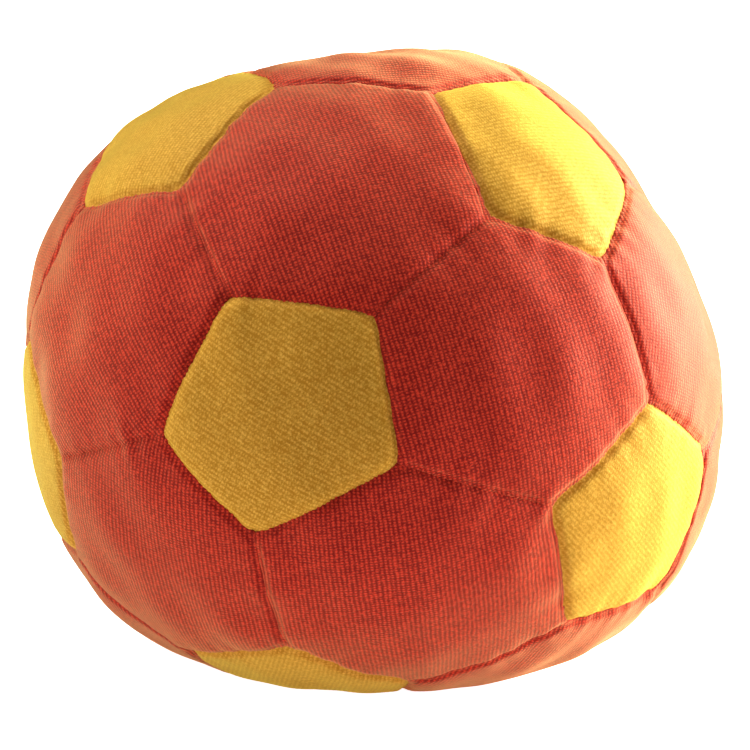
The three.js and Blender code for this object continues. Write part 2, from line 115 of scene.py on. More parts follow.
# Seed and wavelength of each kind of smooth unevenness. A wad or a disc adds its side, 1 or -1, to the seed.
GATHER_RIPPLES = (11, 3.4 * MM)
STUFFING_RIPPLES = (12, 11 * MM)
RIB_RIPPLES = (13, 4 * MM)
TUFT_RIPPLES = (14, 1.1 * MM)
WAD_RIPPLES = ((21, 6 * MM), (31, 2.2 * MM))
DISC_RIPPLES = (41, 4.2 * MM)

# ---- Small geometry helpers ------------------------------------------------------------------------------


def unit(vectors):
    """Each vector divided by its own length."""
    vectors = np.asarray(vectors, float)
    return vectors / np.linalg.norm(vectors, axis=-1, keepdims=True)


def direction(around, up):
    """The unit direction so many degrees round from +X and up from level."""
    around, up = math.radians(around), math.radians(up)
    return np.array([math.cos(up) * math.cos(around), math.cos(up) * math.sin(around), math.sin(up)])


def arc(first, last, shares):
    """Unit directions at shares of the way along the great circle from one direction to another: each end is
    weighted by the sine of the angle left to the other end."""
    angle = math.acos(float(np.clip(first @ last, -1, 1)))
    shares = np.asarray(shares)[..., None]
    return (np.sin((1 - shares) * angle) * first + np.sin(shares * angle) * last) / math.sin(angle)


def smooth_least(first, second, blend):
    """The lesser of two lengths, rounded off by a parabola where they come within blend of each other."""
    share = np.clip(0.5 + 0.5 * (second - first) / blend, 0, 1)
    return second + (first - second) * share - blend * share * (1 - share)


class Ripples:
    """Smooth noise with a mean of 0 and a spread of 1: a sum of sine waves in random directions."""

    WAVES = 14
    CROWDING = (0.7, 1.4)  # how many waves lie in one wavelength, at least and at most

    def __init__(self, seed, wavelength):
        draws = np.random.default_rng(seed)
        headings = unit(draws.normal(size=(self.WAVES, 3)))
        crowding = draws.uniform(*self.CROWDING, (self.WAVES, 1))
        self.waves = headings * crowding * (2 * math.pi / wavelength)
        self.starts = draws.uniform(0, 2 * math.pi, self.WAVES)
        self.height = math.sqrt(2 / self.WAVES)

    def __call__(self, points):
        """The noise at each of an array of points."""
        return self.height * np.sin(points @ self.waves.T + self.starts).sum(-1)


# ---- The shape of the ball -------------------------------------------------------------------------------


class Body:
    """The outside of the ball, as a distance from its centre in each direction."""

    LEAST_FALL = 0.05  # a direction that falls less than this never meets the floor

    def __init__(self, shape):
        self.half_width = shape.half_width
        self.half_height = shape.half_height
        self.centre_height = shape.half_height - shape.foot_press
        self.foot_softness = shape.foot_softness
        self.centre = np.array([0, 0, self.centre_height])
        self.lumps = [(direction(around, up), height * MM) for around, up, height in LUMPS]

    def radius(self, directions, proud=0.0):
        """One over the root of the sum of the squared direction over the half sizes, plus a bell curve of the
        angle from each lump, plus what stands proud, and no further than the surface that the foot is on."""
        level = (directions[..., 0] ** 2 + directions[..., 1] ** 2) / self.half_width**2
        radius = 1 / np.sqrt(level + directions[..., 2] ** 2 / self.half_height**2)
        for middle, height in self.lumps:
            angle = np.degrees(np.arccos(np.clip(directions @ middle, -1, 1)))
            radius = radius + height * np.exp(-((angle / LUMP_WIDTH) ** 2))
        to_floor = self.centre_height / np.maximum(-directions[..., 2], self.LEAST_FALL)
        return smooth_least(radius + proud, to_floor, self.foot_softness)

    def place(self, directions, depth):
        """Points at a depth under the cover, in the ball's frame."""
        return directions * (self.radius(directions) - depth)[..., None] + self.centre


# ---- The panel pattern -----------------------------------------------------------------------------------


def pentagon_middles():
    """The corners of an icosahedron: one at each pole and two rings of five."""
    ring_up = math.degrees(math.atan(0.5))
    upper = [direction(72 * n, ring_up) for n in range(5)]
    lower = [direction(72 * n + 36, -ring_up) for n in range(5)]
    return np.array([direction(0, 90), *upper, *lower, direction(0, -90)])


MIDDLES = pentagon_middles()
NEXT_TO = (MIDDLES @ MIDDLES.T > 0) & ~np.eye(len(MIDDLES), dtype=bool)


def turn_matrix(degrees, axis):
    """The matrix that turns a column of three about X (axis 0) or Z (axis 2)."""
    c, s = math.cos(math.radians(degrees)), math.sin(math.radians(degrees))
    if axis == 0:
        return np.array([[1, 0, 0], [0, c, -s], [0, s, c]])
    return np.array([[c, -s, 0], [s, c, 0], [0, 0, 1]])


def neighbours_of(pentagon):
    """The pentagons round one, anticlockwise seen from outside."""
    middle = MIDDLES[pentagon]
    near = np.flatnonzero(NEXT_TO[pentagon])
    start = unit(MIDDLES[near[0]] - middle * (MIDDLES[near[0]] @ middle))
    side = np.cross(middle, start)
    turns = np.arctan2(MIDDLES[near] @ side, MIDDLES[near] @ start)
    return [int(j) for j in near[np.argsort(turns)]]


class Pattern:
    """Where the seams' corners lie on the resting ball, and which corners each panel has."""

    def __init__(self, body):
        self.body = body
        first, second, third = PATTERN_TURN
        self.turn = turn_matrix(first, 2) @ turn_matrix(second, 0) @ turn_matrix(third, 2)
        pairs = [(int(i), int(j)) for i, j in np.argwhere(NEXT_TO)]
        self.corners = {pair: self.corner(*pair) for pair in pairs}
        self.panels = self.list_panels()
        self.seams = self.list_seams()

    def turned(self, directions):
        """The pattern's directions in the resting ball, pressed down with the ball's height."""
        pressed = np.asarray(directions) @ self.turn.T
        pressed[..., 2] *= self.body.half_height / self.body.half_width
        return unit(pressed)

    def corner(self, i, j):
        """The corner of pentagon i that points to pentagon j, a third of the way to its middle."""
        even = self.turned(unit(MIDDLES[i] * 2 + MIDDLES[j]))
        drift = DRIFTED_CORNERS.get((i, j), (0, 0))
        east = unit(np.cross([0, 0, 1], even))
        north = np.cross(even, east)
        radius = float(self.body.radius(even))
        return unit(even + (east * drift[0] + north * drift[1]) * MM / radius)

    def list_panels(self):
        """Twelve pentagons, then the twenty hexagons between three of them. The front half of the cover holds
        the first pentagons, and each hexagon goes with most of the pentagons round it."""
        panels = []
        for i in range(len(MIDDLES)):
            corners = [(i, j) for j in neighbours_of(i)]
            panels.append(Panel(f"pentagon_panel_{i + 1:02d}", corners, i < FRONT_PENTAGONS, self))
        count = 0
        for i in range(len(MIDDLES)):
            near = neighbours_of(i)
            for j, k in zip(near, near[1:] + near[:1]):
                if min(j, k) < i:
                    continue
                count += 1
                corners = [(i, j), (j, i), (j, k), (k, j), (k, i), (i, k)]
                front = sum(p < FRONT_PENTAGONS for p in (i, j, k)) >= 2
                panels.append(Panel(f"hexagon_panel_{count:02d}", corners, front, self))
        return panels

    def list_seams(self):
        """Every side that two panels share, as (first corner, last corner, thread group)."""
        sides = {}
        for panel in self.panels:
            for a, b in zip(panel.corners, panel.corners[1:] + panel.corners[:1]):
                sides.setdefault(frozenset((a, b)), []).append((a, b, panel))
        seams = []
        for (a, b, one), (_, _, other) in sides.values():
            group = ("back_half", "joining", "front_half")[one.front + other.front]
            if group == "joining" and CLOSING_PENTAGON in (a[0], b[0]):
                group = "closing"
            seams.append((a, b, group))
        return seams

    def thread_through(self, corner):
        """The thread that runs on through a corner: the joining seam's comes before the closing seam's, and
        both come before a half's own."""
        groups = {group for a, b, group in self.seams if corner in (a, b)}
        return next(g for g in ("joining", "closing", "front_half", "back_half") if g in groups)


class Panel:
    """One cut piece of velour, bounded by planes through the ball's centre."""

    SLIDES = 5  # steps that bring a point to its wanted distance from the seams
    OUTLINE_POINTS, OUTLINE_HALVINGS = 2880, 36
    WIDEST_REACH = 0.7  # from a panel's middle to beyond its furthest corner, in radii of the ball
    END_COLUMN = 0.3  # least gap between the outline's side and the first column, in columns
    ROW_CROWDING = 0.5  # how much closer the rows lie at the edges, from 0 to 1

    def __init__(self, name, corners, front, pattern):
        self.name, self.corners, self.front = name, corners, front
        self.is_pentagon = len(corners) == 5
        self.directions = np.array([pattern.corners[c] for c in corners])
        self.middle = unit(self.directions.sum(0))
        self.inward = unit(np.cross(self.directions, np.roll(self.directions, -1, axis=0)))
        self.rounding = PENTAGON_ROUNDING if self.is_pentagon else HEXAGON_ROUNDING
        self.knit_radius = float(pattern.body.radius(self.middle))

    def lay_grain(self, degrees):
        """Turns the knit: along runs with the wales and across runs over them."""
        east = unit(np.cross([0, 0, 1], self.middle))
        north = np.cross(self.middle, east)
        turn = math.radians(degrees)
        self.along = math.cos(turn) * east + math.sin(turn) * north
        self.across = np.cross(self.along, self.middle)

    def inside(self, directions, radius, rounding=None):
        """How far inside its seams a point is, and which way is further in. Corners are rounded: in units of
        rounding, the distance is minus the logarithm of the sum of e to the minus distance from each side."""
        rounding = rounding or self.rounding
        away = (directions @ self.inward.T) * np.asarray(radius)[..., None] / rounding
        least = away.min(-1, keepdims=True)
        weights = np.exp(least - away)
        total = weights.sum(-1, keepdims=True)
        distance = rounding * (least[..., 0] - np.log(total[..., 0]))
        return distance, (weights / total) @ self.inward

    def moved_to(self, directions, wanted, radius, rounding):
        """The directions slid square to the seams until they lie a wanted distance inside them."""
        for _ in range(self.SLIDES):
            distance, inwards = self.inside(directions, radius, rounding)
            step = (wanted - distance) / radius / (inwards**2).sum(-1)
            directions = unit(directions + inwards * step[..., None])
        return directions

    def knit_place(self, directions):
        """Angles across and along the wales, as longitude and latitude about the grain."""
        across = np.arctan2(directions @ self.across, directions @ self.middle)
        along = np.arcsin(np.clip(directions @ self.along, -1, 1))
        return across, along

    def outline(self, inset):
        """The rounded outline a distance inside the seams, as angles across and along. Each ray from the
        middle is halved again and again until it ends on the outline."""
        turn = np.arange(self.OUTLINE_POINTS) * (2 * math.pi / self.OUTLINE_POINTS)
        rays = np.cos(turn)[:, None] * self.across + np.sin(turn)[:, None] * self.along
        near, far = np.zeros_like(turn), np.full_like(turn, self.WIDEST_REACH)
        for _ in range(self.OUTLINE_HALVINGS):
            half = (near + far) / 2
            directions = unit(self.middle + rays * half[:, None])
            is_in = self.inside(directions, np.full_like(turn, self.knit_radius))[0] > inset
            near, far = np.where(is_in, half, near), np.where(is_in, far, half)
        return self.knit_place(unit(self.middle + rays * near[:, None]))

    def knit_grid(self, inset, column_gap, rows):
        """A grid of directions that fills the outline. Its columns run with the wales from edge to edge, a
        fixed angle apart, and its rows lie closer together towards the edges: a sine is taken from their even
        share of the way."""
        across, along = self.outline(inset)
        start = int(np.argmax(across))
        across, along = np.roll(across, -start), np.roll(along, -start)
        turn = int(np.argmin(across))
        gap = column_gap / self.knit_radius
        first = math.ceil(across[turn] / gap + self.END_COLUMN)
        last = math.floor(across[0] / gap - self.END_COLUMN)
        columns = np.arange(first, last + 1) * gap
        top = np.interp(columns, across[: turn + 1][::-1], along[: turn + 1][::-1])
        bottom = np.interp(columns, np.append(across[turn:], across[0]), np.append(along[turn:], along[0]))
        share = np.linspace(0, 1, rows)
        share = share - self.ROW_CROWDING * np.sin(2 * math.pi * share) / (2 * math.pi)
        up = bottom[:, None] + (top - bottom)[:, None] * share
        over = np.broadcast_to(columns[:, None], up.shape)
        return (
            (np.cos(over) * np.cos(up))[..., None] * self.middle
            + (np.sin(over) * np.cos(up))[..., None] * self.across
            + np.sin(up)[..., None] * self.along
        )


# ---- Meshes from arrays ----------------------------------------------------------------------------------


def grid_faces(columns, rows):
    """Quads of a grid whose points are numbered along its columns, facing up where columns run right and rows
    run up."""
    corner = np.arange(columns * rows).reshape(columns, rows)
    a, b, c, d = corner[:-1, :-1], corner[1:, :-1], corner[1:, 1:], corner[:-1, 1:]
    return np.stack([a, b, c, d], -1).reshape(-1, 4)


def rim_of(columns, rows):
    """The numbers of a grid's outer points, anticlockwise."""
    corner = np.arange(columns * rows).reshape(columns, rows)
    return np.concatenate([corner[:, 0], corner[-1, 1:], corner[-2::-1, -1], corner[0, -2:0:-1]])


def band_faces(ring, outer):
    """Quads between a ring of point numbers, anticlockwise, and a ring of as many outside it."""
    following, outer_following = np.roll(ring, -1), np.roll(outer, -1)
    return np.stack([ring, outer, outer_following, following], -1)


def cap_faces(ring, pole):
    """Triangles from a ring of point numbers to one point beyond it."""
    return np.stack([ring, np.full_like(ring, pole), np.roll(ring, -1)], -1)


def stack_faces(around, rings, turned=False):
    """Quads between rings of so many points each, and triangles to a first and a last pole, whose numbers
    follow the rings'. With the turn to the right and the steps upwards they face out, or, turned, in."""
    ring = np.arange(around)
    bands = [band_faces(ring + around * n, ring + around * (n + 1)) for n in range(rings - 1)]
    first = cap_faces(ring, rings * around)[:, ::-1]
    last = cap_faces(ring + around * (rings - 1), rings * around + 1)
    faces = [np.concatenate(bands), np.concatenate([first, last])]
    return [f[:, ::-1] for f in faces] if turned else faces


def repeat_faces(faces, count, points):
    """The same faces for each of a number of copies that have so many points."""
    return (faces[None] + points * np.arange(count)[:, None, None]).reshape(-1, faces.shape[1])


def make_piece(name, points, faces, material, flat_map=None):
    """A mesh piece that rides on the ball, from points, arrays of triangles and quads, and each point's place
    on the cloth."""
    mesh = bpy.data.meshes.new(name)
    corners = np.concatenate([f.ravel() for f in faces]).astype(np.int32)
    sizes = np.concatenate([np.full(len(f), f.shape[1]) for f in faces])
    starts = np.concatenate([[0], np.cumsum(sizes)[:-1]]).astype(np.int32)
    mesh.vertices.add(len(points))
    mesh.vertices.foreach_set("co", points.astype(np.float32).ravel())
    mesh.loops.add(len(corners))
    mesh.loops.foreach_set("vertex_index", corners)
    mesh.polygons.add(len(sizes))
    mesh.polygons.foreach_set("loop_start", starts)
    mesh.polygons.foreach_set("use_smooth", np.ones(len(sizes), bool))
    if flat_map is not None:
        layer = mesh.uv_layers.new(name=KNIT_MAP)
        layer.data.foreach_set("uv", flat_map[corners].astype(np.float32).ravel())
    mesh.materials.append(material)
    mesh.update(calc_edges=True)
    if mesh.validate():
        raise RuntimeError(f"{name} has faces that don't hold")
    piece = bpy.data.objects.new(name, mesh)
    bpy.context.scene.collection.objects.link(piece)
    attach(piece, BODY)
    return piece


def tubes(paths, up, side, radius, sides=6):
    """Closed round tubes along paths of shape (tubes, steps, 3): each step has a ring of points at radius
    times the cosine of a turn along up plus its sine along side, and a point at each end. Up cross side
    points along the path. Also gives each point's place along and around."""
    count, steps = paths.shape[:2]
    turn = np.arange(sides) * (2 * math.pi / sides)
    around = np.cos(turn)[:, None] * up[..., None, :] + np.sin(turn)[:, None] * side[..., None, :]
    rings = (paths[..., None, :] + radius * around).reshape(count, steps * sides, 3)
    points = np.concatenate([rings, paths[:, :1], paths[:, -1:]], axis=1)
    lengths = np.linalg.norm(np.diff(paths, axis=1), axis=-1).cumsum(1)
    along = np.concatenate([np.zeros((count, 1)), lengths], axis=1)
    ring_map = np.stack(np.broadcast_arrays(along[..., None], turn * radius), -1)
    ends = np.stack([along[:, [0, -1]], np.zeros((count, 2))], -1)
    flat_map = np.concatenate([ring_map.reshape(count, -1, 2), ends], axis=1)
    faces = [repeat_faces(f, count, steps * sides + 2) for f in stack_faces(sides, steps, turned=True)]
    return points.reshape(-1, 3), faces, flat_map.reshape(-1, 2) / MM


def beads(centres, axes, around=8, bands=4):
    """A small closed ellipsoid at each centre, of shape (beads, 3), with its half axes as the rows of axes,
    of shape (beads, 3, 3): a globe's rings of latitude between two poles."""
    up = np.linspace(-math.pi / 2, math.pi / 2, bands + 1)[1:-1]
    turn = np.arange(around) * (2 * math.pi / around)
    x, y = np.cos(up)[:, None] * np.cos(turn), np.cos(up)[:, None] * np.sin(turn)
    globe = np.stack([x, y, np.broadcast_to(np.sin(up)[:, None], x.shape)], -1).reshape(-1, 3)
    globe = np.concatenate([globe, [[0, 0, -1], [0, 0, 1]]])
    points = centres[:, None] + globe @ axes
    faces = [repeat_faces(f, len(centres), len(globe)) for f in stack_faces(around, bands - 1, turned=True)]
    return points.reshape(-1, 3), faces


def joined(parts):
    """Several (points, faces) as one, with the point numbers of each moved on past those before it."""
    points, faces, count = [], [], 0
    for some_points, some_faces in parts:
        points.append(some_points)
        faces += [f + count for f in some_faces]
        count += len(some_points)
    return np.concatenate(points), faces


# ---- Shader maths ----------------------------------------------------------------------------------------


class Value:
    """A number socket that adds Math nodes when it is used in an expression."""

    def __init__(self, shader, socket):
        self.shader, self.socket = shader, socket

    def maths(self, operation, *terms):
        """Adds a Math node on values or plain numbers."""
        node = self.shader.node("ShaderNodeMath", {"operation": operation}, dict(enumerate(terms)))
        return Value(self.shader, node.outputs[0])

    def __add__(self, other):
        return self.maths("ADD", self, other)

    def __radd__(self, other):
        return self.maths("ADD", other, self)

    def __sub__(self, other):
        return self.maths("SUBTRACT", self, other)

    def __rsub__(self, other):
        return self.maths("SUBTRACT", other, self)

    def __mul__(self, other):
        return self.maths("MULTIPLY", self, other)

    def __rmul__(self, other):
        return self.maths("MULTIPLY", other, self)

    def wave(self, period):
        """A cosine between 0 and 1 that repeats every period."""
        return self.maths("COSINE", self * (2 * math.pi / period)) * 0.5 + 0.5

    def clamped(self):
        """The value held between 0 and 1."""
        node = self.shader.node("ShaderNodeClamp", {}, {0: self})
        return Value(self.shader, node.outputs[0])


class Shader:
    """The node tree of a material or of the world."""

    def __init__(self, owner):
        owner.use_nodes = True
        self.tree = owner.node_tree
        self.tree.nodes.clear()

    def node(self, kind, settings=None, inputs=None):
        """Adds a node: its settings first, then its sockets' values or links."""
        made = self.tree.nodes.new(kind)
        for name, value in (settings or {}).items():
            setattr(made, name, value)
        for key, value in (inputs or {}).items():
            value = value.socket if isinstance(value, Value) else value
            if isinstance(value, bpy.types.NodeSocket):
                self.tree.links.new(value, made.inputs[key])
            else:
                made.inputs[key].default_value = value
        return made

    def noise(self, scale, detail, roughness=0.5):
        """Noise between 0 and 1 in the piece's own coordinates, scale features to a metre."""
        place = self.node("ShaderNodeTexCoord").outputs["Object"]
        inputs = {"Vector": place, "Scale": scale, "Detail": detail, "Roughness": roughness}
        return Value(self, self.node("ShaderNodeTexNoise", {}, inputs).outputs["Fac"])

    def cloth_place(self):
        """The place on the cloth in millimetres, across the wales and along them."""
        flat_map = self.node("ShaderNodeUVMap", {"uv_map": KNIT_MAP})
        parts = self.node("ShaderNodeSeparateXYZ", {}, {0: flat_map.outputs[0]})
        return Value(self, parts.outputs[0]), Value(self, parts.outputs[1])

    def mix(self, share, first, second, blend="MIX"):
        """A mix of two colours, each a socket or four numbers."""
        settings = {"data_type": "RGBA", "blend_type": blend}
        return self.node("ShaderNodeMix", settings, {0: share, 6: first, 7: second}).outputs[2]

    def bump(self, height, distance, strength=1.0):
        """A normal bent by a height, of which 1 stands for the distance."""
        inputs = {"Strength": strength, "Distance": distance, "Height": height}
        return self.node("ShaderNodeBump", {}, inputs).outputs[0]

    def finish(self, inputs):
        """Ends the tree in a Principled shader with these sockets."""
        principled = self.node("ShaderNodeBsdfPrincipled", {}, inputs)
        self.node("ShaderNodeOutputMaterial", {}, {"Surface": principled.outputs[0]})


def new_material(name):
    """A material and the shader that fills its node tree."""
    material = bpy.data.materials.new(name)
    return material, Shader(material)


def rgba(colour, scale=1.0):
    """A colour property as four numbers, lighter or darker by a scale."""
    return (*(min(1.0, c * scale) for c in colour), 1.0)


def grey(level):
    """A grey as four numbers, from 0, black, to 1, white."""
    return (level, level, level, 1.0)


# ---- Materials -------------------------------------------------------------------------------------------


# How much the knit's lines wander, in millimetres from one side of a slow noise to the other.
WALE_SWAY, WALE_DRIFT = 0.3, 0.12
COURSE_SWAY, COURSE_DRIFT = 0.5, 0.3
COURSE_SHOW = 0.75  # how clearly each column of stitches is parted into single stitches
# The lighter colour is painted highlight on the raised stitches, and the darker one is painted shade in the
# gaps.
PILE_CONTRAST, PILE_LIFT = 1.15, 0.08  # from the height of the pile to its share of the lighter colour
GREY_WEAR = 0.92  # how light the velour's duller patches are
WEAR_CONTRAST, WEAR_START = 1.6, 0.5  # how sharply the patches end, and how much of the cloth they take
PLY_SLANT = 0.8  # millimetres along a thread for each millimetre round it
SEEN_FLOOR_GLOW = 1.0  # how bright the floor looks to the camera


def velour_material(name, finish, knit):
    """Cut-pile knit: stitches with painted highlight and gaps with painted shade, short fibres, slow changes
    in the dye, and a sheen.
    """
    material, shader = new_material(name)
    across, along = shader.cloth_place()
    sway = shader.noise(scale=260, detail=1.0)
    drift = shader.noise(scale=700, detail=1.0)
    wale = (across + sway * WALE_SWAY + drift * WALE_DRIFT).wave(knit.wale_pitch / MM)
    course = (along + sway * COURSE_SWAY + drift * COURSE_DRIFT).wave(knit.course_pitch / MM)
    stitches = wale * (course * COURSE_SHOW + (1 - COURSE_SHOW)) * finish.stitch_show
    fibres = shader.noise(scale=5200, detail=2.0, roughness=0.6) - 0.5
    strands = shader.noise(scale=1900, detail=2.0, roughness=0.55) - 0.5
    height = stitches + fibres * finish.fuzz + strands * finish.fuzz
    light = (height * PILE_CONTRAST + PILE_LIFT).clamped()
    # Painted light: the raised stitches take the lighter colour as painted highlight, and the gaps take the
    # darker one as painted shade.
    pile = shader.mix(light, rgba(finish.shaded_gap_colour), rgba(finish.lit_pile_colour))
    patches = shader.noise(scale=110, detail=3.0, roughness=0.6)
    wear = (patches * WEAR_CONTRAST - WEAR_START).clamped()
    worn = shader.mix(wear, grey(GREY_WEAR), grey(1.0))
    inputs = {
        "Base Color": shader.mix(1.0, pile, worn, "MULTIPLY"),
        "Roughness": 0.6,
        "Specular IOR Level": 0.15,
        "Sheen Weight": finish.sheen,
        "Sheen Roughness": finish.sheen_roughness,
        "Sheen Tint": rgba(finish.sheen_colour),
        "Normal": shader.bump(height, distance=finish.pile_relief, strength=0.9),
    }
    shader.finish(inputs)
    return material


def thread_material(name, colour):
    """Twisted thread: slanting ply lines, with painted shade between the plies and painted highlight on them.
    """
    material, shader = new_material(name)
    along, around = shader.cloth_place()
    plies = (along + around * PLY_SLANT).wave(PLY_PITCH)
    fuzz = shader.noise(scale=6000, detail=2.0)
    # Painted light: darker between the plies as painted shade, and lighter on them as painted highlight.
    tone = shader.mix((plies * 0.7 + fuzz * 0.4).clamped(), rgba(colour, 0.55), rgba(colour, 1.15))
    normal = shader.bump(plies + fuzz * 0.3, distance=0.05 * MM, strength=0.8)
    shader.finish({"Base Color": tone, "Roughness": 0.7, "Sheen Weight": 0.3, "Normal": normal})
    return material


def fibre_material(name, colour):
    """Loose polyester fibre: tangled fine strands, a little shine, light that soaks in."""
    material, shader = new_material(name)
    tangle = shader.noise(scale=900, detail=6.0, roughness=0.7)
    strands = shader.noise(scale=3400, detail=3.0, roughness=0.6)
    height = tangle * 0.7 + strands * 0.4
    inputs = {
        # Painted shade: darker where the tangle lies low, in its hollows.
        "Base Color": shader.mix(height.clamped(), rgba(colour, 0.78), rgba(colour)),
        "Roughness": 0.6,
        "Sheen Weight": 0.5,
        "Subsurface Weight": 0.25,
        "Subsurface Radius": (2 * MM, 2 * MM, 2 * MM),
        "Normal": shader.bump(height, distance=0.5 * MM),
    }
    shader.finish(inputs)
    return material


def cotton_material(name, colour):
    """Plain-woven cotton: threads over and under in both directions, with thicker threads here and there."""
    material, shader = new_material(name)
    across, along = shader.cloth_place()
    warp, weft = across.wave(COTTON_PITCH), along.wave(COTTON_PITCH)
    over = across.wave(2 * COTTON_PITCH) * along.wave(2 * COTTON_PITCH)
    slubs = shader.noise(scale=500, detail=2.0)
    height = warp * 0.4 + weft * 0.4 + over * 0.2
    # Painted shade where the threads dip under, and lighter along the slubs.
    tone = shader.mix((height + slubs * 0.3 - 0.1).clamped(), rgba(colour, 0.7), rgba(colour))
    normal = shader.bump(height, distance=0.12 * MM, strength=0.8)
    shader.finish({"Base Color": tone, "Roughness": 0.9, "Sheen Weight": 0.15, "Normal": normal})
    return material


def pellet_material(name, colour):
    """Moulded plastic pellets: each a little lighter or darker, with a soft shine."""
    material, shader = new_material(name)
    shade = shader.noise(scale=240, detail=0.0)
    scuffs = shader.noise(scale=2600, detail=3.0)
    inputs = {
        "Base Color": shader.mix(shade * 1.4 - 0.2, rgba(colour, 0.82), rgba(colour, 1.05)),
        "Roughness": scuffs * 0.2 + 0.35,
        "Subsurface Weight": 0.15,
        "Subsurface Radius": (1 * MM, 1 * MM, 1 * MM),
        "Normal": shader.bump(scuffs, distance=0.05 * MM, strength=0.3),
    }
    shader.finish(inputs)
    return material


def floor_material(name, colour, glow):
    """Smooth pale studio board, lit through from below so that it is seen white. It gives off less light than
    it shows, so that the ball's underside stays in shade."""
    material, shader = new_material(name)
    grain = shader.noise(scale=40, detail=4.0)
    tone = shader.mix(grain, rgba(colour, 0.985), rgba(colour))
    seen = shader.node("ShaderNodeLightPath").outputs["Is Camera Ray"]
    lit = shader.mix(seen, grey(glow), grey(SEEN_FLOOR_GLOW))
    inputs = {"Base Color": tone, "Roughness": 0.85, "Specular IOR Level": 0.1}
    shader.finish({**inputs, "Emission Color": lit, "Emission Strength": 1.0})
    return material


# ---- Settings --------------------------------------------------------------------------------------------


def a_length(name, description, millimetres):
    """A length property, with its default in millimetres."""
    default = millimetres * MM
    kind = {"min": 0, "precision": 5, "subtype": "DISTANCE", "unit": "LENGTH"}
    return FloatProperty(name=name, description=description, default=default, **kind)


def a_share(name, description, default):
    """A property between 0 and 1."""
    return FloatProperty(name=name, description=description, default=default, min=0, max=1, subtype="FACTOR")


def a_count(name, description, default, most):
    """A whole number from 2 up to a most."""
    return IntProperty(name=name, description=description, default=default, min=2, max=most)


def a_colour(name, description, default):
    """A colour property of red, green and blue."""
    return FloatVectorProperty(
        name=name, description=description, default=default, size=3, min=0, max=1, subtype="COLOR"
    )


class BallShape(bpy.types.PropertyGroup):
    half_width: a_length("Half Width", "Centre to cover, level", 51)
    half_height: a_length("Half Height", "Centre to cover, upright, before the foot is pressed flat", 48.2)
    foot_press: a_length("Foot Press", "How far the foot is pressed up under the ball's own weight", 4.2)
    foot_softness: a_length("Foot Softness", "How gently the side turns into the flat foot", 2)
    crown: a_length("Crown", "How far a panel's middle stands out between its seams", 0.15)
    seam_pull: a_length("Seam Pull", "How far the seams draw the cover in", 0.35)
    seam_pull_width: a_length("Seam Pull Width", "How far from a seam the cover is drawn in", 3.5)
    groove_depth: a_length("Groove Depth", "Depth of the groove along a seam", 0.5)
    groove_width: a_length("Groove Width", "Half width of the groove along a seam", 0.65)
    pucker: a_length("Pucker", "Height of the small gathers along a seam", 0.09)
    pucker_width: a_length("Pucker Width", "How far from a seam the gathers reach", 2.2)
    unevenness: a_length("Unevenness", "Height of the soft unevenness of the stuffing", 0.12)


class Knit(bpy.types.PropertyGroup):
    wale_pitch: a_length("Wale Pitch", "From one column of stitches to the next", 0.61)
    course_pitch: a_length("Course Pitch", "From one row of stitches to the next", 0.4)
    rib_height: a_length("Rib Height", "How far the columns of stitches stand up", 0.009)
    thickness: a_length("Thickness", "Of the velour, pile and backing", 1.2)
    allowance: a_length("Seam Allowance", "Turned inwards from the back of the velour", 5)
    allowance_thickness: a_length("Allowance Thickness", "Velour squeezed flat in a seam", 1)
    edge_tuft: a_length("Edge Tuft", "How far the pile reaches over a seam at each column of stitches", 0.28)
    columns_per_wale: a_count("Columns per Wale", "Columns of the mesh to each column of stitches", 4, 6)
    rows: a_count("Rows", "Rows of the mesh from edge to edge of a panel", 76, 200)


class VelourFinish(bpy.types.PropertyGroup):
    # Pile colour: the tips' dye with painted highlight. Gap colour: darker, painted shade between the
    # stitches.
    lit_pile_colour: a_colour("Pile Colour", "Tips of the pile", (0.87, 0.085, 0.045))
    shaded_gap_colour: a_colour("Gap Colour", "Between the stitches", (0.38, 0.006, 0.01))
    sheen_colour: a_colour("Sheen Colour", "Light caught at a low angle", (1.0, 0.74, 0.37))
    sheen: a_share("Sheen", "Strength of the light caught at a low angle", 1.0)
    sheen_roughness: a_share("Sheen Spread", "How far the sheen spreads from the rim", 0.5)
    pile_relief: a_length("Pile Relief", "Depth of the stitches and fibres", 0.045)
    stitch_show: a_share("Stitch Show", "How clearly the stitches show through the pile", 1.0)
    fuzz: FloatProperty(name="Fuzz", description="How strongly single fibres show", default=1.55, min=0)


class Sewing(bpy.types.PropertyGroup):
    thread_radius: a_length("Thread Radius", "Of each strand", 0.13)
    strand_offset: a_length("Strand Offset", "From the seam's middle to a strand's middle", 0.1)
    stitch: a_length("Stitch", "Length of a machine stitch", 2.4)
    depth: a_length("Depth", "Of the machine thread under the cover", 1.25)
    end_gap: a_length("End Gap", "Where one seam's thread stops at another's", 0.6)
    ladder_step: a_length("Ladder Step", "Between the stitches of the hand-closed seam", 2.8)
    ladder_reach: a_length("Ladder Reach", "How far a hand stitch bites into each panel", 0.7)
    thread_colour: a_colour("Thread Colour", "Of the cover's seams", (0.35, 0.02, 0.01))
    pouch_thread_colour: a_colour("Pouch Thread Colour", "Of the pouch's seam", (0.86, 0.83, 0.74))


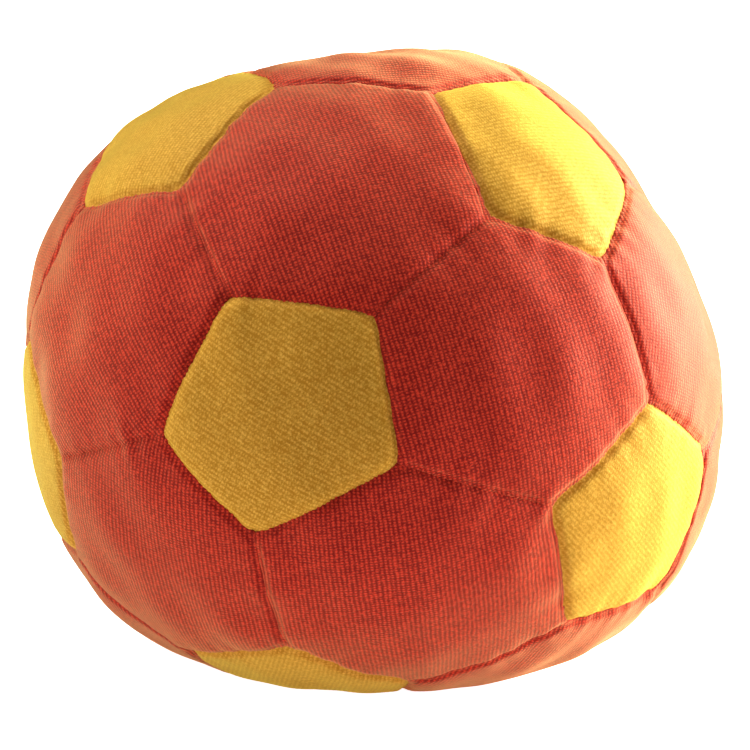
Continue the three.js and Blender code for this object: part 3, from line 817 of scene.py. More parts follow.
class Filling(bpy.types.PropertyGroup):
    clearance: a_length("Clearance", "Stuffing to cover, stuffing to pouch rim, pellets to pouch", 0.3)
    wad_gap: a_length("Wad Gap", "Between the two wads", 0.3)
    tuftiness: a_length("Tuftiness", "Depth of the hollows between tufts of stuffing", 0.9)
    pouch_radius: a_length("Pouch Radius", "Where the pouch's bulge meets its flat rim", 28)
    pouch_half_height: a_length("Pouch Half Height", "Centre to top of the pouch", 24)
    pouch_rim: a_length("Pouch Rim", "Width of the flat rim that is sewn", 3)
    pouch_cloth: a_length("Pouch Cloth", "Thickness", 0.5)
    rim_gap: a_length("Rim Gap", "Middle of the rim to either disc", 0.5)
    pellet: a_length("Pellet", "Width of a pellet", 4)
    fibre_colour: a_colour("Fibre Colour", "Of the stuffing", (0.87, 0.86, 0.82))
    cotton_colour: a_colour("Cotton Colour", "Of the pouch", (0.78, 0.73, 0.62))
    pellet_colour: a_colour("Pellet Colour", "Of the pellets", (0.7, 0.7, 0.66))


class Studio(bpy.types.PropertyGroup):
    floor_colour: a_colour("Floor Colour", "Of the studio board", (0.93, 0.93, 0.93))
    floor_glow: a_share("Floor Glow", "Light that the studio board throws back on the ball", 0.14)
    elevation: FloatProperty(
        name="Elevation", description="Camera above level", default=math.radians(16.56), subtype="ANGLE"
    )
    distance: a_length("Distance", "Camera to the ball's centre", 341.9)
    focal_length: FloatProperty(name="Focal Length", description="In millimetres", default=112.83, min=1)
    walls: FloatProperty(name="Walls", description="Brightness of the room", default=0.02, min=0)


class JugglingBall(bpy.types.PropertyGroup):
    shape: PointerProperty(type=BallShape, name="Shape", description="The stuffed shape")
    knit: PointerProperty(type=Knit, name="Knit", description="The cover's cloth")
    yellow: PointerProperty(type=VelourFinish, name="Yellow", description="Finish of the pentagons")
    red: PointerProperty(type=VelourFinish, name="Red", description="Finish of the hexagons")
    sewing: PointerProperty(type=Sewing, name="Sewing", description="The threads")
    filling: PointerProperty(type=Filling, name="Filling", description="Stuffing, pouch and pellets")
    studio: PointerProperty(type=Studio, name="Studio", description="Floor, light and camera")


def settings():
    """The ball's settings, as the sidebar shows them."""
    return bpy.context.scene.juggling_ball


# ---- The cover -------------------------------------------------------------------------------------------


class Cloth:
    """How the velour lies over the stuffing: its crown, seam grooves, gathers and ribs."""

    # How strongly the ribs show: on average, its spread over the cloth, at least and at most.
    RIB_MEAN, RIB_SPREAD, RIB_LEAST, RIB_MOST = 0.8, 0.25, 0.2, 1.3
    # Length of the tufts on average and its spread, and how much of it comes from the ribs and from between.
    TUFT_MEAN, TUFT_SPREAD, RIB_TUFT, PLAIN_TUFT, TUFT_MOST = 0.65, 0.35, 0.8, 0.25, 1.3

    def __init__(self, ball):
        self.shape, self.knit = ball.shape, ball.knit
        self.body = Body(ball.shape)
        self.gathers = Ripples(*GATHER_RIPPLES)
        self.stuffing = Ripples(*STUFFING_RIPPLES)
        self.uneven_ribs = Ripples(*RIB_RIPPLES)
        self.tuft_lengths = Ripples(*TUFT_RIPPLES)

    def gathers_at(self, panel, directions, radius):
        """The gathers along each seam: noise at the nearest point of the seam, faded by e to the minus
        distance from it, so that the panels on both sides share them."""
        total = np.zeros(directions.shape[:-1])
        for inward in panel.inward:
            away = directions @ inward
            on_seam = unit(directions - away[..., None] * inward) * radius[..., None]
            fade = np.exp(-np.maximum(away, 0) * radius / self.shape.pucker_width)
            total += fade * self.gathers(on_seam)
        return total * self.shape.pucker

    def ribs_at(self, panel, directions):
        """The columns of stitches: a cosine across the wales, between -1 and 1."""
        across, _ = panel.knit_place(directions)
        return np.cos(across * panel.knit_radius * (2 * math.pi / self.knit.wale_pitch))

    def surface_depth(self, panel, directions):
        """How far the pile lies under the body's plain shape, less for what stands out."""
        shape = self.shape
        radius = self.body.radius(directions)
        inside, _ = panel.inside(directions, radius)
        inside = np.maximum(inside, 0)
        pull = shape.seam_pull * np.exp(-inside / shape.seam_pull_width)
        groove = shape.groove_depth * np.exp(-((inside / shape.groove_width) ** 2))
        places = directions * radius[..., None]
        uneven = self.stuffing(places) * shape.unevenness
        strength = np.clip(
            self.RIB_MEAN + self.RIB_SPREAD * self.uneven_ribs(places), self.RIB_LEAST, self.RIB_MOST
        )
        ribs = self.ribs_at(panel, directions) * strength * self.knit.rib_height
        proud = shape.crown + uneven + ribs + self.gathers_at(panel, directions, radius)
        return radius - self.body.radius(directions, proud - pull) + groove

    def tufts_at(self, panel, directions, radius):
        """How far the pile at the edge reaches out: most at the end of each column of stitches."""
        ribs = 0.5 + 0.5 * self.ribs_at(panel, directions)
        uneven = self.TUFT_MEAN + self.TUFT_SPREAD * self.tuft_lengths(directions * radius[..., None])
        reach = ribs * self.RIB_TUFT * uneven + self.PLAIN_TUFT * uneven
        return self.knit.edge_tuft * np.clip(reach, 0, self.TUFT_MOST)


# The rolled edge of a panel from its pile side down to the thread: distance inside the seam, depth below the
# edge of the pile, share of the tufts, and rounding of a hexagon's corners, in millimetres but for the share.
ROLLED_EDGE = (
    (0.32, 0.03, 0.3, 0.3),
    (0.12, 0.12, 0.7, 0.16),
    (-0.02, 0.27, 1.0, 0.1),
    (-0.02, 0.42, 0.6, 0.1),
)
EDGE_INSET = 0.5 * MM  # from the seams to the edge of the pile
PENTAGON_OVERLAP = 0.22 * MM  # the yellow pile spills over its seams
CORNER_SPILL = 0.4 * MM  # a hexagon's cloth fills in beside the rounded corners of the pentagons
CORNER_SPILL_WIDTH = 1.3 * MM  # how far from the corner it does so
THREAD_WALL = 0.5 * MM  # from the seam's middle to the cloth beside the thread
ALLOWANCE_FACE = 0.15 * MM  # from the seam's middle to the near face of the allowance
LOWEST_PILE = 0.85 * MM  # depth at which the rolled edge is pressed flat
ROLL_SQUEEZE = 0.2  # share of its roll that it keeps there
WALL_TOP, WALL_FOOT, ALLOWANCE_TOP = 1.0 * MM, 1.9 * MM, 2.25 * MM  # depths under the cover
BACK_RINGS = (0.66, 0.33)  # how far out the rings of the cloth's back lie, of the way to its rim


def spill_at(panel, edge, radius):
    """How far the pile spills over a seam: evenly round a pentagon, and round a hexagon only where it fills
    in beside the rounded corner of a pentagon, by a bell curve of the distance from there."""
    if panel.is_pentagon:
        return PENTAGON_OVERLAP
    to_corner = np.arccos(np.clip(edge @ panel.directions.T, -1, 1)).min(-1) * radius
    return CORNER_SPILL * np.exp(-((to_corner / CORNER_SPILL_WIDTH) ** 2))


def edge_rings(panel, cloth, edge, edge_depth):
    """The rings that carry a panel's rim round to its back: the rolled edge with its tufts, the wall beside
    the thread, and both faces of the seam allowance. Each is a distance inside the seams, a depth under the
    body's plain shape, and a rounding of the corners."""
    knit = cloth.knit
    plain = cloth.body.radius(edge)
    tufts = cloth.tufts_at(panel, edge, plain)
    spill = spill_at(panel, edge, plain)
    rings = []
    for inset, below, tuft_share, rounding in ROLLED_EDGE:
        depth = np.minimum(edge_depth + below * MM, LOWEST_PILE + below * MM * ROLL_SQUEEZE)
        rounding = panel.rounding if panel.is_pentagon else rounding * MM
        rings.append((inset * MM - spill - tufts * tuft_share, depth, rounding))
    tip = knit.thickness + knit.allowance
    inner_face = ALLOWANCE_FACE + knit.allowance_thickness
    hidden = (
        (THREAD_WALL, WALL_TOP),
        (THREAD_WALL, WALL_FOOT),
        (ALLOWANCE_FACE, ALLOWANCE_TOP),
        (ALLOWANCE_FACE, tip),
        (inner_face, tip),
        (inner_face, knit.thickness),
    )
    level = np.ones(len(edge))
    return rings + [(level * wanted, level * below, panel.rounding) for wanted, below in hidden]


def panel_mesh(panel, cloth):
    """A closed panel. The pile side is the knit grid, each point at the body's radius less the surface depth.
    Its rim is carried round the edge rings, and then in rings to the middle of the cloth's back."""
    knit, body = cloth.knit, cloth.body
    inset = EDGE_INSET - (PENTAGON_OVERLAP if panel.is_pentagon else 0)
    pile = panel.knit_grid(inset, knit.wale_pitch / knit.columns_per_wale, knit.rows)
    columns, rows = pile.shape[:2]
    rim = rim_of(columns, rows)
    directions, depths = [pile.reshape(-1, 3)], [cloth.surface_depth(panel, pile).reshape(-1)]
    edge = directions[0][rim]
    plain = body.radius(edge)
    for wanted, below, rounding in edge_rings(panel, cloth, edge, depths[0][rim]):
        directions.append(panel.moved_to(edge, wanted, plain - below, rounding))
        depths.append(below)
    back = directions[-1]
    for part in BACK_RINGS:
        directions.append(unit(panel.middle * (1 - part) + back * part))
        depths.append(np.full(len(rim), knit.thickness))
    faces = [grid_faces(columns, rows)]
    ring, start = rim, columns * rows
    for _ in directions[1:]:
        following = start + np.arange(len(rim))
        faces.append(band_faces(ring, following))
        ring, start = following, start + len(rim)
    faces.append(cap_faces(ring, start))
    directions = np.concatenate([*directions, panel.middle[None]])
    depths = np.append(np.concatenate(depths), knit.thickness)
    flat_map = np.stack(panel.knit_place(directions), -1) * (panel.knit_radius / MM)
    return body.place(directions, depths), faces, flat_map


class BALL_OT_velour_panels(bpy.types.Operator):
    """Sew the cover: twelve yellow pentagons and twenty red hexagons of velour"""

    bl_idname = "juggling_ball.velour_panels"
    bl_label = "Velour Panels"

    def execute(self, context):
        ball = settings()
        cloth = Cloth(ball)
        draws = np.random.default_rng(GRAIN_SEED)
        finishes = {
            True: ("yellow_velour", velour_material("yellow_pile", ball.yellow, ball.knit)),
            False: ("red_velour", velour_material("red_pile", ball.red, ball.knit)),
        }
        for panel in Pattern(cloth.body).panels:
            free_grain = float(draws.uniform(*FREE_GRAIN))
            panel.lay_grain(CUT_GRAIN.get(panel.name, free_grain))
            slot, material = finishes[panel.is_pentagon]
            points, faces, flat_map = panel_mesh(panel, cloth)
            piece = make_piece(f"velour_{panel.name}", points, faces, material, flat_map)
            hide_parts(panel.name)
        return {"FINISHED"}


# ---- The threads -----------------------------------------------------------------------------------------


STEPS_PER_SEAM = 56  # of a machine strand's mesh
STRAND_FLATNESS = 0.6  # how far the strands wind aside, of how far they wind in depth
KNOT_SIZE = 1.3  # radius of a knot, of the two strands' together
LADDER_STEPS = 180
LADDER_END = 0.02  # share of the seam left free at either end
LADDER_HARDNESS = 4  # how square the ladder stitch turns its corners
LADDER_DEPTH, LADDER_LIFT = 1.25 * MM, 0.35 * MM  # under the cover, and how far it rises from there


def seam_length(body, first, last):
    """The angle between a seam's ends times the ball's radius between them."""
    return math.acos(float(first @ last)) * float(body.radius(unit(first + last)))


def machine_strands(body, pattern, seams, sewing):
    """Two strands that wind round each other once a stitch along each seam: their places across and in depth
    are the cosine and the sine of a turn that grows along the seam."""
    paths, ups, sides = [], [], []
    for a, b, _ in seams:
        first, last = pattern.corners[a], pattern.corners[b]
        span = seam_length(body, first, last)
        cut = sewing.end_gap / span
        shares = np.linspace(cut, 1 - cut, STEPS_PER_SEAM)
        directions = arc(first, last, shares)
        square = unit(np.cross(first, last))
        for strand in (0, 1):
            turn = shares * span / sewing.stitch * 2 * math.pi + strand * math.pi
            radius = body.radius(directions) - sewing.depth + sewing.strand_offset * np.sin(turn)
            aside = sewing.strand_offset * STRAND_FLATNESS * np.cos(turn)
            paths.append(directions * radius[:, None] + square * aside[:, None] + body.centre)
            ups.append(directions)
            sides.append(np.broadcast_to(-square, directions.shape))
    return np.array(paths), np.array(ups), np.array(sides)


def corner_knots(body, pattern, group, sewing):
    """A small bead of thread at each corner that the thread runs through."""
    through = [c for c in pattern.corners if pattern.thread_through(c) == group]
    if not through:
        return []
    directions = np.array([pattern.corners[c] for c in through])
    radius = sewing.strand_offset + sewing.thread_radius
    axes = np.broadcast_to(np.eye(3) * radius * KNOT_SIZE, (len(through), 3, 3))
    return [beads(body.place(directions, np.full(len(through), sewing.depth)), axes)]


def thread_piece(name, parts, material, node):
    """One thread as a piece: its tubes with their flat map, then its knots."""
    (points, faces, flat_map), knots = parts[0], parts[1:]
    points, faces = joined([(points, faces), *knots])
    spare = np.zeros((len(points) - len(flat_map), 2))
    piece = make_piece(name, points, faces, material, np.concatenate([flat_map, spare]))
    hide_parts(node)


class BALL_OT_machine_seams(bpy.types.Operator):
    """Stitch the two halves of the cover and the joining seam round the middle"""

    bl_idname = "juggling_ball.machine_seams"
    bl_label = "Machine Seams"

    def execute(self, context):
        ball = settings()
        body = Body(ball.shape)
        pattern = Pattern(body)
        material = thread_material(COVER_THREAD, ball.sewing.thread_colour)
        for group in ("front_half", "back_half", "joining"):
            seams = [s for s in pattern.seams if s[2] == group]
            paths, ups, sides = machine_strands(body, pattern, seams, ball.sewing)
            strands = tubes(paths, ups, sides, ball.sewing.thread_radius)
            knots = corner_knots(body, pattern, group, ball.sewing)
            node = f"{group}_seam_thread"
            thread_piece(f"{group}_stitches", [strands, *knots], material, node)
        return {"FINISHED"}


def ladder_path(body, pattern, seam, sewing):
    """A hand stitch that crosses the seam again and again: its place across is a softened square wave, and it
    rises to the groove where it crosses and dips into the cloth where it runs along."""
    first, last = pattern.corners[seam[0]], pattern.corners[seam[1]]
    shares = np.linspace(LADDER_END, 1 - LADDER_END, LADDER_STEPS)
    directions = arc(first, last, shares)
    square = unit(np.cross(first, last))
    turn = shares * seam_length(body, first, last) / sewing.ladder_step * math.pi
    across = np.tanh(LADDER_HARDNESS * np.sin(turn)) / math.tanh(LADDER_HARDNESS)
    depth = LADDER_DEPTH - LADDER_LIFT * (1 - across**2)
    radius = body.radius(directions) - depth
    path = directions * radius[:, None] + square * (across * sewing.ladder_reach)[:, None] + body.centre
    return path, directions, np.broadcast_to(-square, directions.shape)


class BALL_OT_closing_seam(bpy.types.Operator):
    """Close the opening behind by hand with a ladder stitch"""

    bl_idname = "juggling_ball.closing_seam"
    bl_label = "Closing Seam"

    def execute(self, context):
        ball = settings()
        body = Body(ball.shape)
        pattern = Pattern(body)
        seams = [s for s in pattern.seams if s[2] == "closing"]
        made = [ladder_path(body, pattern, seam, ball.sewing) for seam in seams]
        paths, ups, sides = (np.array(part) for part in zip(*made))
        strand = tubes(paths, ups, sides, ball.sewing.thread_radius)
        knots = corner_knots(body, pattern, "closing", ball.sewing)
        material = bpy.data.materials[COVER_THREAD]
        parts = [strand, *knots]
        thread_piece("closing_ladder_stitches", parts, material, "closing_seam_thread")
        return {"FINISHED"}


# ---- The filling -----------------------------------------------------------------------------------------


LEVEL_ENOUGH = 1e-4  # stands in for a direction's part along an axis where that is nothing
DOME_ROOM = 0.5 * MM  # between the stuffing and the pouch's bulge, with its gathers
RIM_ROOM = 1.3 * MM  # between the stuffing and the pouch's rim, about a step of the wad's mesh


def hollow_radius(directions, filling):
    """Distance from the ball's centre to the wall of the hollow round the pouch. The dome is half an ellipse
    that stands on the rim: the distance to it is the greater root of a quadratic with the terms a, b and c.
    The slot for the rim is a flat ring."""
    level = np.hypot(directions[..., 0], directions[..., 1])
    up = np.abs(directions[..., 2])
    reach = filling.pouch_radius + DOME_ROOM
    top = filling.pouch_half_height + DOME_ROOM
    floor = filling.rim_gap + filling.pouch_cloth + filling.clearance
    tall = top - floor
    a = level**2 / reach**2 + up**2 / tall**2
    b = -2 * up * floor / tall**2
    c = floor**2 / tall**2 - 1
    dome = (-b + np.sqrt(b**2 - 4 * a * c)) / (2 * a)
    slot_height = (floor + RIM_ROOM) / np.maximum(up, LEVEL_ENOUGH)
    slot_edge = (filling.pouch_radius + filling.pouch_rim + RIM_ROOM) / np.maximum(level, LEVEL_ENOUGH)
    return np.maximum(dome, np.minimum(slot_height, slot_edge))


WAD_TURNS = 220  # points round a wad's mesh
OUTER_RINGS, PARTING_RINGS, INNER_RINGS = 74, 9, 40  # of its mesh, from pole to pole
SHORT_OF_PARTING = 0.004  # radians between a wad's last ring and the plane between the wads
MEAN_HOLLOW, TUFT_SPREAD, FINE_SPREAD = 0.5, 0.22, 0.12  # of the deepest hollow between tufts
INNER_TUFTS = 0.5  # how deep the hollows are beside the pouch, of those under the cover
LEAST_RISE = 0.2 * MM  # of the stuffing's hollow over the parting
GROOVE_SLOPE = 0.5 * MM  # over which the stuffing falls away beside a seam allowance
GROOVE_ROOM = 1.3 * MM  # between the stuffing and an allowance, more than a step of the wad's mesh


def wad_skin(under, ball, body, pattern):
    """Distance from the centre to the stuffing's skin under the cover: the velour and a clearance down, and
    as much deeper as a seam allowance is long where one hangs."""
    radius = body.radius(under)
    distance = np.max([p.inside(under, radius)[0] for p in pattern.panels], axis=0)
    wall = ALLOWANCE_FACE + ball.knit.allowance_thickness + GROOVE_ROOM
    groove = np.clip((wall + GROOVE_SLOPE - distance) / GROOVE_SLOPE, 0, 1)
    return radius - ball.knit.thickness - ball.filling.clearance - groove * ball.knit.allowance


def wad_mesh(side, ball, body, pattern):
    """One wad of stuffing, as a globe about the line square to the parting. Each meridian starts at the pole
    on the cover's side, runs under the cover, turns in across the parting, and comes back along the hollow
    for the pouch. The hollows between tufts are smooth noise that only ever takes away."""
    filling = ball.filling
    forwards = unit(np.cross(*pattern.turned(np.eye(3)[:2]))) * side
    aside = unit(np.cross(forwards, [0, 0, 1]))
    turn = np.arange(WAD_TURNS) * (2 * math.pi / WAD_TURNS)
    around = np.cos(turn)[:, None] * aside + np.sin(turn)[:, None] * np.cross(forwards, aside)
    tufts, fine = (Ripples(seed + side, wavelength) for seed, wavelength in WAD_RIPPLES)

    def globe(angles):
        return np.cos(angles)[:, None] * forwards + np.sin(angles)[:, None] * around[:, None]

    def hollows(places):
        share = MEAN_HOLLOW + TUFT_SPREAD * tufts(places) + FINE_SPREAD * fine(places)
        return filling.tuftiness * share.clip(0, 1)

    edge = math.pi / 2 - SHORT_OF_PARTING
    under = globe(np.linspace(0, edge, OUTER_RINGS + 1)[1:])
    skin = wad_skin(under, ball, body, pattern)
    outside = under * (skin - hollows(under * skin[..., None]))[..., None]
    ways = globe(np.linspace(edge, 0, INNER_RINGS + 1)[:-1])
    hollow = hollow_radius(ways, filling)
    inside = ways * (hollow + hollows(ways * hollow[..., None]) * INNER_TUFTS)[..., None]
    share = np.linspace(0, 1, PARTING_RINGS + 2)[1:-1, None]
    parting = outside[:, -1:] * (1 - share) + inside[:, :1] * share
    lift = filling.wad_gap / 2 + hollows(parting) * np.sqrt(np.sin(math.pi * share[:, 0]))
    parting = parting + forwards * (lift - parting @ forwards)[..., None]
    rows = np.concatenate([outside, parting, inside], axis=1)
    low = np.maximum(filling.wad_gap / 2 + LEAST_RISE - rows @ forwards, 0)
    rows = rows + forwards * low[..., None]
    top = float(body.radius(forwards)) - ball.knit.thickness - filling.clearance - filling.tuftiness / 2
    poles = [forwards * top, forwards * float(hollow_radius(forwards, filling))]
    points = np.concatenate([rows.transpose(1, 0, 2).reshape(-1, 3), poles]) + body.centre
    return points, stack_faces(WAD_TURNS, rows.shape[1])


class BALL_OT_stuffing(bpy.types.Operator):
    """Stuff the cover with two wads of fibre, one in front of the pouch and one behind it"""

    bl_idname = "juggling_ball.stuffing"
    bl_label = "Stuffing"

    def execute(self, context):
        ball = settings()
        body = Body(ball.shape)
        pattern = Pattern(body)
        material = fibre_material("stuffing_fibre", ball.filling.fibre_colour)
        for name, side in (("front_stuffing", 1), ("back_stuffing", -1)):
            points, faces = wad_mesh(side, ball, body, pattern)
            piece = make_piece(f"{name}_fibre", points, faces, material)
            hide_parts(f"{name}_wad")
        return {"FINISHED"}


DISC_TURNS, BULGE_RINGS, RIM_RINGS = 160, 40, 6  # points round a disc's mesh, and its rings
DISC_GATHERS = 26  # round the rim
GATHER_SWAY, GATHER_SWAYS = 0.7, 3  # how far the gathers shift round the rim and back, and how often
GATHER_START = 0.7  # where the gathers begin, of the way from the axis to the bulge's edge
GATHER_HEIGHT, PELLET_PRESS = 0.12 * MM, 0.09 * MM  # how far gathers and pellets bend the cloth
POUCH_STITCHES = 70
POUCH_STEPS, POUCH_OPENING = 400, 5  # steps round the rim, and how many of them the thread leaves free
POUCH_WIND = (0.25 * MM, 0.07 * MM)  # how far the strands wind outwards and upwards
POUCH_THREAD_RADIUS = 0.11 * MM


def disc_profile(filling):
    """Distance from the axis and height above the rim's middle: a quarter ellipse down the outside of the
    bulge, a flat run out over the rim and back under it, and a quarter ellipse up the inside."""
    outer, inner = filling.pouch_radius, filling.pouch_radius - filling.pouch_cloth
    rim, cloth = filling.pouch_radius + filling.pouch_rim, filling.pouch_cloth
    low, top = filling.rim_gap, filling.pouch_half_height
    down = np.linspace(0, math.pi / 2, BULGE_RINGS + 1)[1:]
    up = down[::-1]
    runs = (
        (outer * np.sin(down), low + cloth + (top - low - cloth) * np.cos(down)),
        (np.linspace(outer, rim, RIM_RINGS + 1)[1:], np.full(RIM_RINGS, low + cloth)),
        (np.linspace(rim, inner, RIM_RINGS + 1)[:-1], np.full(RIM_RINGS, low)),
        (inner * np.sin(up), low + (top - cloth - low) * np.cos(up)),
    )
    return np.concatenate(runs, axis=1)


def disc_mesh(side, filling, body):
    """One cloth disc of the pouch: its profile turned about the upright axis. Pellets press it out a little,
    by smooth noise, and it gathers towards the rim, by a sine of the turn."""
    across, height = disc_profile(filling)
    turn = np.arange(DISC_TURNS) * (2 * math.pi / DISC_TURNS)
    level = np.stack([np.cos(turn), np.sin(turn)], -1)
    upright = np.broadcast_to(side * height[:, None, None], (len(across), DISC_TURNS, 1))
    points = np.concatenate([across[:, None, None] * level, upright], axis=-1)
    reach, top = filling.pouch_radius, filling.pouch_half_height
    to_edge = reach + filling.pouch_rim - across
    started = np.clip((across / reach - GATHER_START) / (1 - GATHER_START), 0, 1)
    near_rim = started * np.clip(to_edge / filling.pouch_rim, 0, 1)
    folds = np.sin(DISC_GATHERS * turn + GATHER_SWAY * np.sin(GATHER_SWAYS * turn))
    gathers = GATHER_HEIGHT * folds * near_rim[:, None]
    seed, wavelength = DISC_RIPPLES
    pressed = PELLET_PRESS * Ripples(seed + side, wavelength)(points) * (across < reach)[:, None]
    outwards = unit(points / np.array([reach**2, reach**2, top**2]))
    points = points + outwards * (pressed + gathers)[..., None]
    poles = [[0, 0, side * top], [0, 0, side * (top - filling.pouch_cloth)]]
    points = np.concatenate([points.reshape(-1, 3), poles]) + body.centre
    cloth_length = np.concatenate([[across[0]], np.hypot(np.diff(across), np.diff(height))]).cumsum()
    flat = np.minimum(cloth_length, cloth_length[-1] - cloth_length)
    flat_map = np.concatenate([(flat[:, None, None] * level).reshape(-1, 2), np.zeros((2, 2))]) / MM
    return points, stack_faces(DISC_TURNS, len(across), turned=side < 0), flat_map


def pouch_stitches(filling, body):
    """Two strands round the rim that wind round each other once a stitch: their places outwards and upwards
    are the cosine and the sine of a turn that grows round the rim."""
    middle = filling.pouch_radius + filling.pouch_rim / 2
    wind_out, wind_up = POUCH_WIND
    shares = np.linspace(0, 1, POUCH_STEPS + 1)[: -POUCH_OPENING - 1]
    turn = shares * 2 * math.pi
    out = np.stack([np.cos(turn), np.sin(turn), np.zeros_like(turn)], -1)
    upright = np.broadcast_to([0.0, 0.0, 1.0], out.shape)
    paths = []
    for strand in (0, 1):
        wind = shares * POUCH_STITCHES * 2 * math.pi + strand * math.pi
        reach = middle + wind_out * np.cos(wind)
        height = wind_up * np.sin(wind)
        paths.append(out * reach[:, None] + upright * height[:, None] + body.centre)
    paths = np.array(paths)
    ups = np.broadcast_to(upright, paths.shape)
    sides = np.broadcast_to(out, paths.shape)
    return tubes(paths, ups, sides, POUCH_THREAD_RADIUS)


class BALL_OT_pouch(bpy.types.Operator):
    """Sew the pouch for the pellets from two cotton discs"""

    bl_idname = "juggling_ball.pouch"
    bl_label = "Pouch"

    def execute(self, context):
        ball = settings()
        body = Body(ball.shape)
        cotton = cotton_material("pouch_cotton", ball.filling.cotton_colour)
        for name, side in (("pouch_upper", 1), ("pouch_lower", -1)):
            points, faces, flat_map = disc_mesh(side, ball.filling, body)
            piece = make_piece(f"{name}_cotton", points, faces, cotton, flat_map)
            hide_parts(f"{name}_disc")
        thread = thread_material("twisted_pouch_thread", ball.sewing.pouch_thread_colour)
        stitches = pouch_stitches(ball.filling, body)
        thread_piece("pouch_stitches", [stitches], thread, "pouch_seam_thread")
        return {"FINISHED"}


PELLET_ROOM = 1.03  # from one pellet's middle to the next, in pellets
PELLET_LEAST, PELLET_MOST = (0.9, 0.9, 0.62), (1.0, 1.0, 0.85)  # a pellet's three widths, in pellets


def pellet_places(filling):
    """Centres of pellets packed like shot: rows shifted by half a pellet, layers by a third, a small gap
    between them, and only those that fit in the pouch."""
    step = filling.pellet * PELLET_ROOM
    count = int(filling.pouch_radius / step) + 2
    i, j, k = np.meshgrid(*[np.arange(-count, count + 1)] * 3, indexing="ij")
    x = step * (i + 0.5 * (j % 2) + 0.5 * (k % 2))
    y = step * math.sqrt(3) / 2 * (j + (k % 2) / 3)
    z = step * math.sqrt(2 / 3) * k
    places = np.stack([x, y, z], -1).reshape(-1, 3)
    inset = filling.pouch_cloth + filling.clearance + filling.pellet / 2
    reach, top = filling.pouch_radius - inset, filling.pouch_half_height - inset
    level = np.hypot(places[:, 0], places[:, 1])
    return places[(level / reach) ** 2 + (places[:, 2] / top) ** 2 < 1]


class BALL_OT_pellets(bpy.types.Operator):
    """Fill the pouch with pellets"""

    bl_idname = "juggling_ball.pellets"
    bl_label = "Pellets"

    def execute(self, context):
        ball = settings()
        filling = ball.filling
        places = pellet_places(filling)
        draws = np.random.default_rng(PELLET_SEED)
        spin = np.linalg.qr(draws.normal(size=(len(places), 3, 3)))[0]
        spin[np.linalg.det(spin) < 0, 0] *= -1
        half = filling.pellet / 2
        widths = half * draws.uniform(PELLET_LEAST, PELLET_MOST, (len(places), 3))
        centres = places + Body(ball.shape).centre
        points, faces = beads(centres, widths[:, :, None] * spin)
        material = pellet_material("pellet_plastic", filling.pellet_colour)
        piece = make_piece("loose_pellets", points, faces, material)
        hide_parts("pellet_fill")
        return {"FINISHED"}


# ---- The stage -------------------------------------------------------------------------------------------


# The soft boxes: name, watts, degrees round from the camera's side (anticlockwise) and up, width in metres.
SOFT_BOXES = (
    ("key", 6.0, 120, 8, 0.3),
    ("back", 1.1, 136, 10, 0.3),
    ("side", 1.4, 105, 10, 0.3),
    ("right", 2.6, 90, 12, 0.3),
    ("left", 1.4, -75, 8, 0.4),
    ("high_right", 1.0, 105, 48, 0.4),
    ("high_left", 1.3, -110, 45, 0.5),
    ("top", 1.5, -90, 70, 0.5),
    ("top_back", 1.4, -140, 60, 0.4),
)
SOFT_BOX_DISTANCE = 0.62  # from the ball's centre, in metres
CAMERA_SIDE = -90  # degrees round from +X
CAMERA_SHIFT = (0.0098, -0.0081)  # sideways and upwards, in widths of the picture
SENSOR_WIDTH = 36  # millimetres
CONTRAST_GAMMA = 0.76  # a camera's contrast: below 1, dark tones go darker and white stays
NEAREST, FURTHEST = 0.01, 20  # what the camera sees, in metres
FLOOR_REACH = 4.0  # from the floor's middle to its sides, in metres


def aim(thing, target):
    """Turns a light or camera, which looks along its own -Z, towards a point."""
    way = Vector(target) - thing.location
    thing.rotation_euler = way.to_track_quat("-Z", "Y").to_euler()


def soft_box(name, watts, around, up, size, target):
    """A square area light so many degrees round from the camera's side, anticlockwise, and up from level."""
    light = bpy.data.lights.new(name, "AREA")
    light.energy, light.shape, light.size = watts, "SQUARE", size
    lamp = bpy.data.objects.new(name, light)
    bpy.context.scene.collection.objects.link(lamp)
    lamp.location = Vector(target) + Vector(direction(CAMERA_SIDE + around, up)) * SOFT_BOX_DISTANCE
    aim(lamp, target)


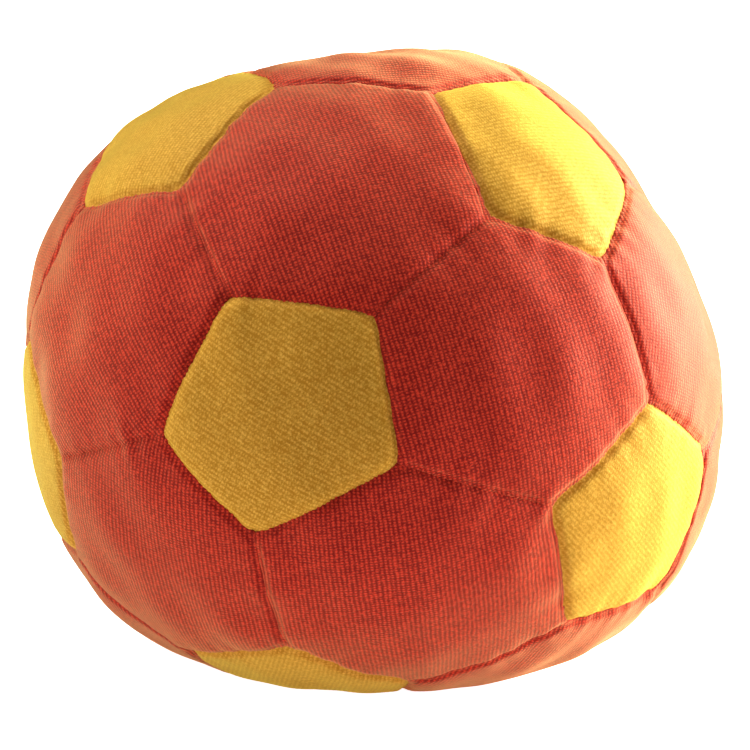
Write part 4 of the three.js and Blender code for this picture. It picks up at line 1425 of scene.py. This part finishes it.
class BALL_OT_studio(bpy.types.Operator):
    """Set up the pale floor, the soft light and the camera"""

    bl_idname = "juggling_ball.studio"
    bl_label = "Studio"

    def execute(self, context):
        ball, scene = settings(), context.scene
        centre = tuple(Body(ball.shape).centre)
        self.make_floor(ball.studio)
        self.make_surroundings(scene, ball.studio)
        for name, watts, around, up, size in SOFT_BOXES:
            soft_box(f"{name}_soft_box", watts, around, up, size, centre)
        self.make_camera(scene, ball.studio, centre)
        scene.view_settings.view_transform = "Standard"
        scene.view_settings.look = "None"
        scene.view_settings.gamma = CONTRAST_GAMMA
        return {"FINISHED"}

    def make_floor(self, studio):
        """A flat square board."""
        points = [(x * FLOOR_REACH, y * FLOOR_REACH, 0) for x, y in ((-1, -1), (1, -1), (1, 1), (-1, 1))]
        mesh = bpy.data.meshes.new("studio_floor")
        mesh.from_pydata(points, [], [(0, 1, 2, 3)])
        mesh.materials.append(floor_material("studio_floor", studio.floor_colour, studio.floor_glow))
        floor = bpy.data.objects.new("studio_floor", mesh)
        bpy.context.scene.collection.objects.link(floor)

    def make_surroundings(self, scene, studio):
        """A dim white room, seen white behind the floor."""
        scene.world = bpy.data.worlds.new("white_room")
        shader = Shader(scene.world)
        seen = shader.node("ShaderNodeLightPath").outputs["Is Camera Ray"]
        dim = shader.node("ShaderNodeBackground", {}, {"Color": grey(1.0), "Strength": studio.walls})
        bright = shader.node("ShaderNodeBackground", {}, {"Color": grey(1.0), "Strength": 1.0})
        both = shader.node("ShaderNodeMixShader", {}, {0: seen, 1: dim.outputs[0], 2: bright.outputs[0]})
        shader.node("ShaderNodeOutputWorld", {}, {"Surface": both.outputs[0]})

    def make_camera(self, scene, studio, centre):
        """A camera at its distance from the ball's centre, above level by its elevation."""
        camera = bpy.data.objects.new("camera", bpy.data.cameras.new("camera"))
        scene.collection.objects.link(camera)
        back = Vector((0, -math.cos(studio.elevation), math.sin(studio.elevation)))
        camera.location = Vector(centre) + back * studio.distance
        aim(camera, centre)
        camera.data.sensor_width = SENSOR_WIDTH
        camera.data.lens = studio.focal_length
        camera.data.shift_x, camera.data.shift_y = CAMERA_SHIFT
        camera.data.clip_start, camera.data.clip_end = NEAREST, FURTHEST
        scene.camera = camera


# ---- The panel and the registration ----------------------------------------------------------------------

STEPS = (
    BALL_OT_studio,
    BALL_OT_velour_panels,
    BALL_OT_machine_seams,
    BALL_OT_closing_seam,
    BALL_OT_stuffing,
    BALL_OT_pouch,
    BALL_OT_pellets,
)


class BALL_PT_sidebar(bpy.types.Panel):
    """Lists the ball's settings and the steps that make it"""

    bl_idname = "BALL_PT_sidebar"
    bl_label = "Juggling Ball"
    bl_space_type = "VIEW_3D"
    bl_region_type = "UI"
    bl_category = "Juggling Ball"

    def draw(self, context):
        ball = settings()
        for group in (ball.shape, ball.knit, ball.yellow, ball.red, ball.sewing, ball.filling, ball.studio):
            box = self.layout.box()
            for name in group.__annotations__:
                box.prop(group, name)
        for step in STEPS:
            self.layout.operator(step.bl_idname)


GROUPS = (BallShape, Knit, VelourFinish, Sewing, Filling, Studio, JugglingBall)
CLASSES = (*GROUPS, *STEPS, BALL_PT_sidebar)


def register():
    """Makes the settings, the steps and the sidebar known."""
    for kind in CLASSES:
        bpy.utils.register_class(kind)
    bpy.types.Scene.juggling_ball = PointerProperty(type=JugglingBall)


def unregister():
    """Takes them away again."""
    del bpy.types.Scene.juggling_ball
    for kind in reversed(CLASSES):
        bpy.utils.unregister_class(kind)


def set_finishes(ball):
    """The yellow velour has its own colours, and its stitches show less than the red's."""
    # The pile colour holds painted highlight, and the gap colour holds painted shade between the stitches.
    ball.yellow.lit_pile_colour = (0.98, 0.62, 0.14)
    ball.yellow.shaded_gap_colour = (0.68, 0.33, 0.035)
    ball.yellow.stitch_show = 0.6
    ball.yellow.sheen_colour = (0.95, 0.84, 0.2)


def main():
    register()
    set_finishes(settings())
    for step in STEPS:
        kind, name = step.bl_idname.split(".")
        getattr(getattr(bpy.ops, kind), name)()


if __name__ == "__main__":
    main()
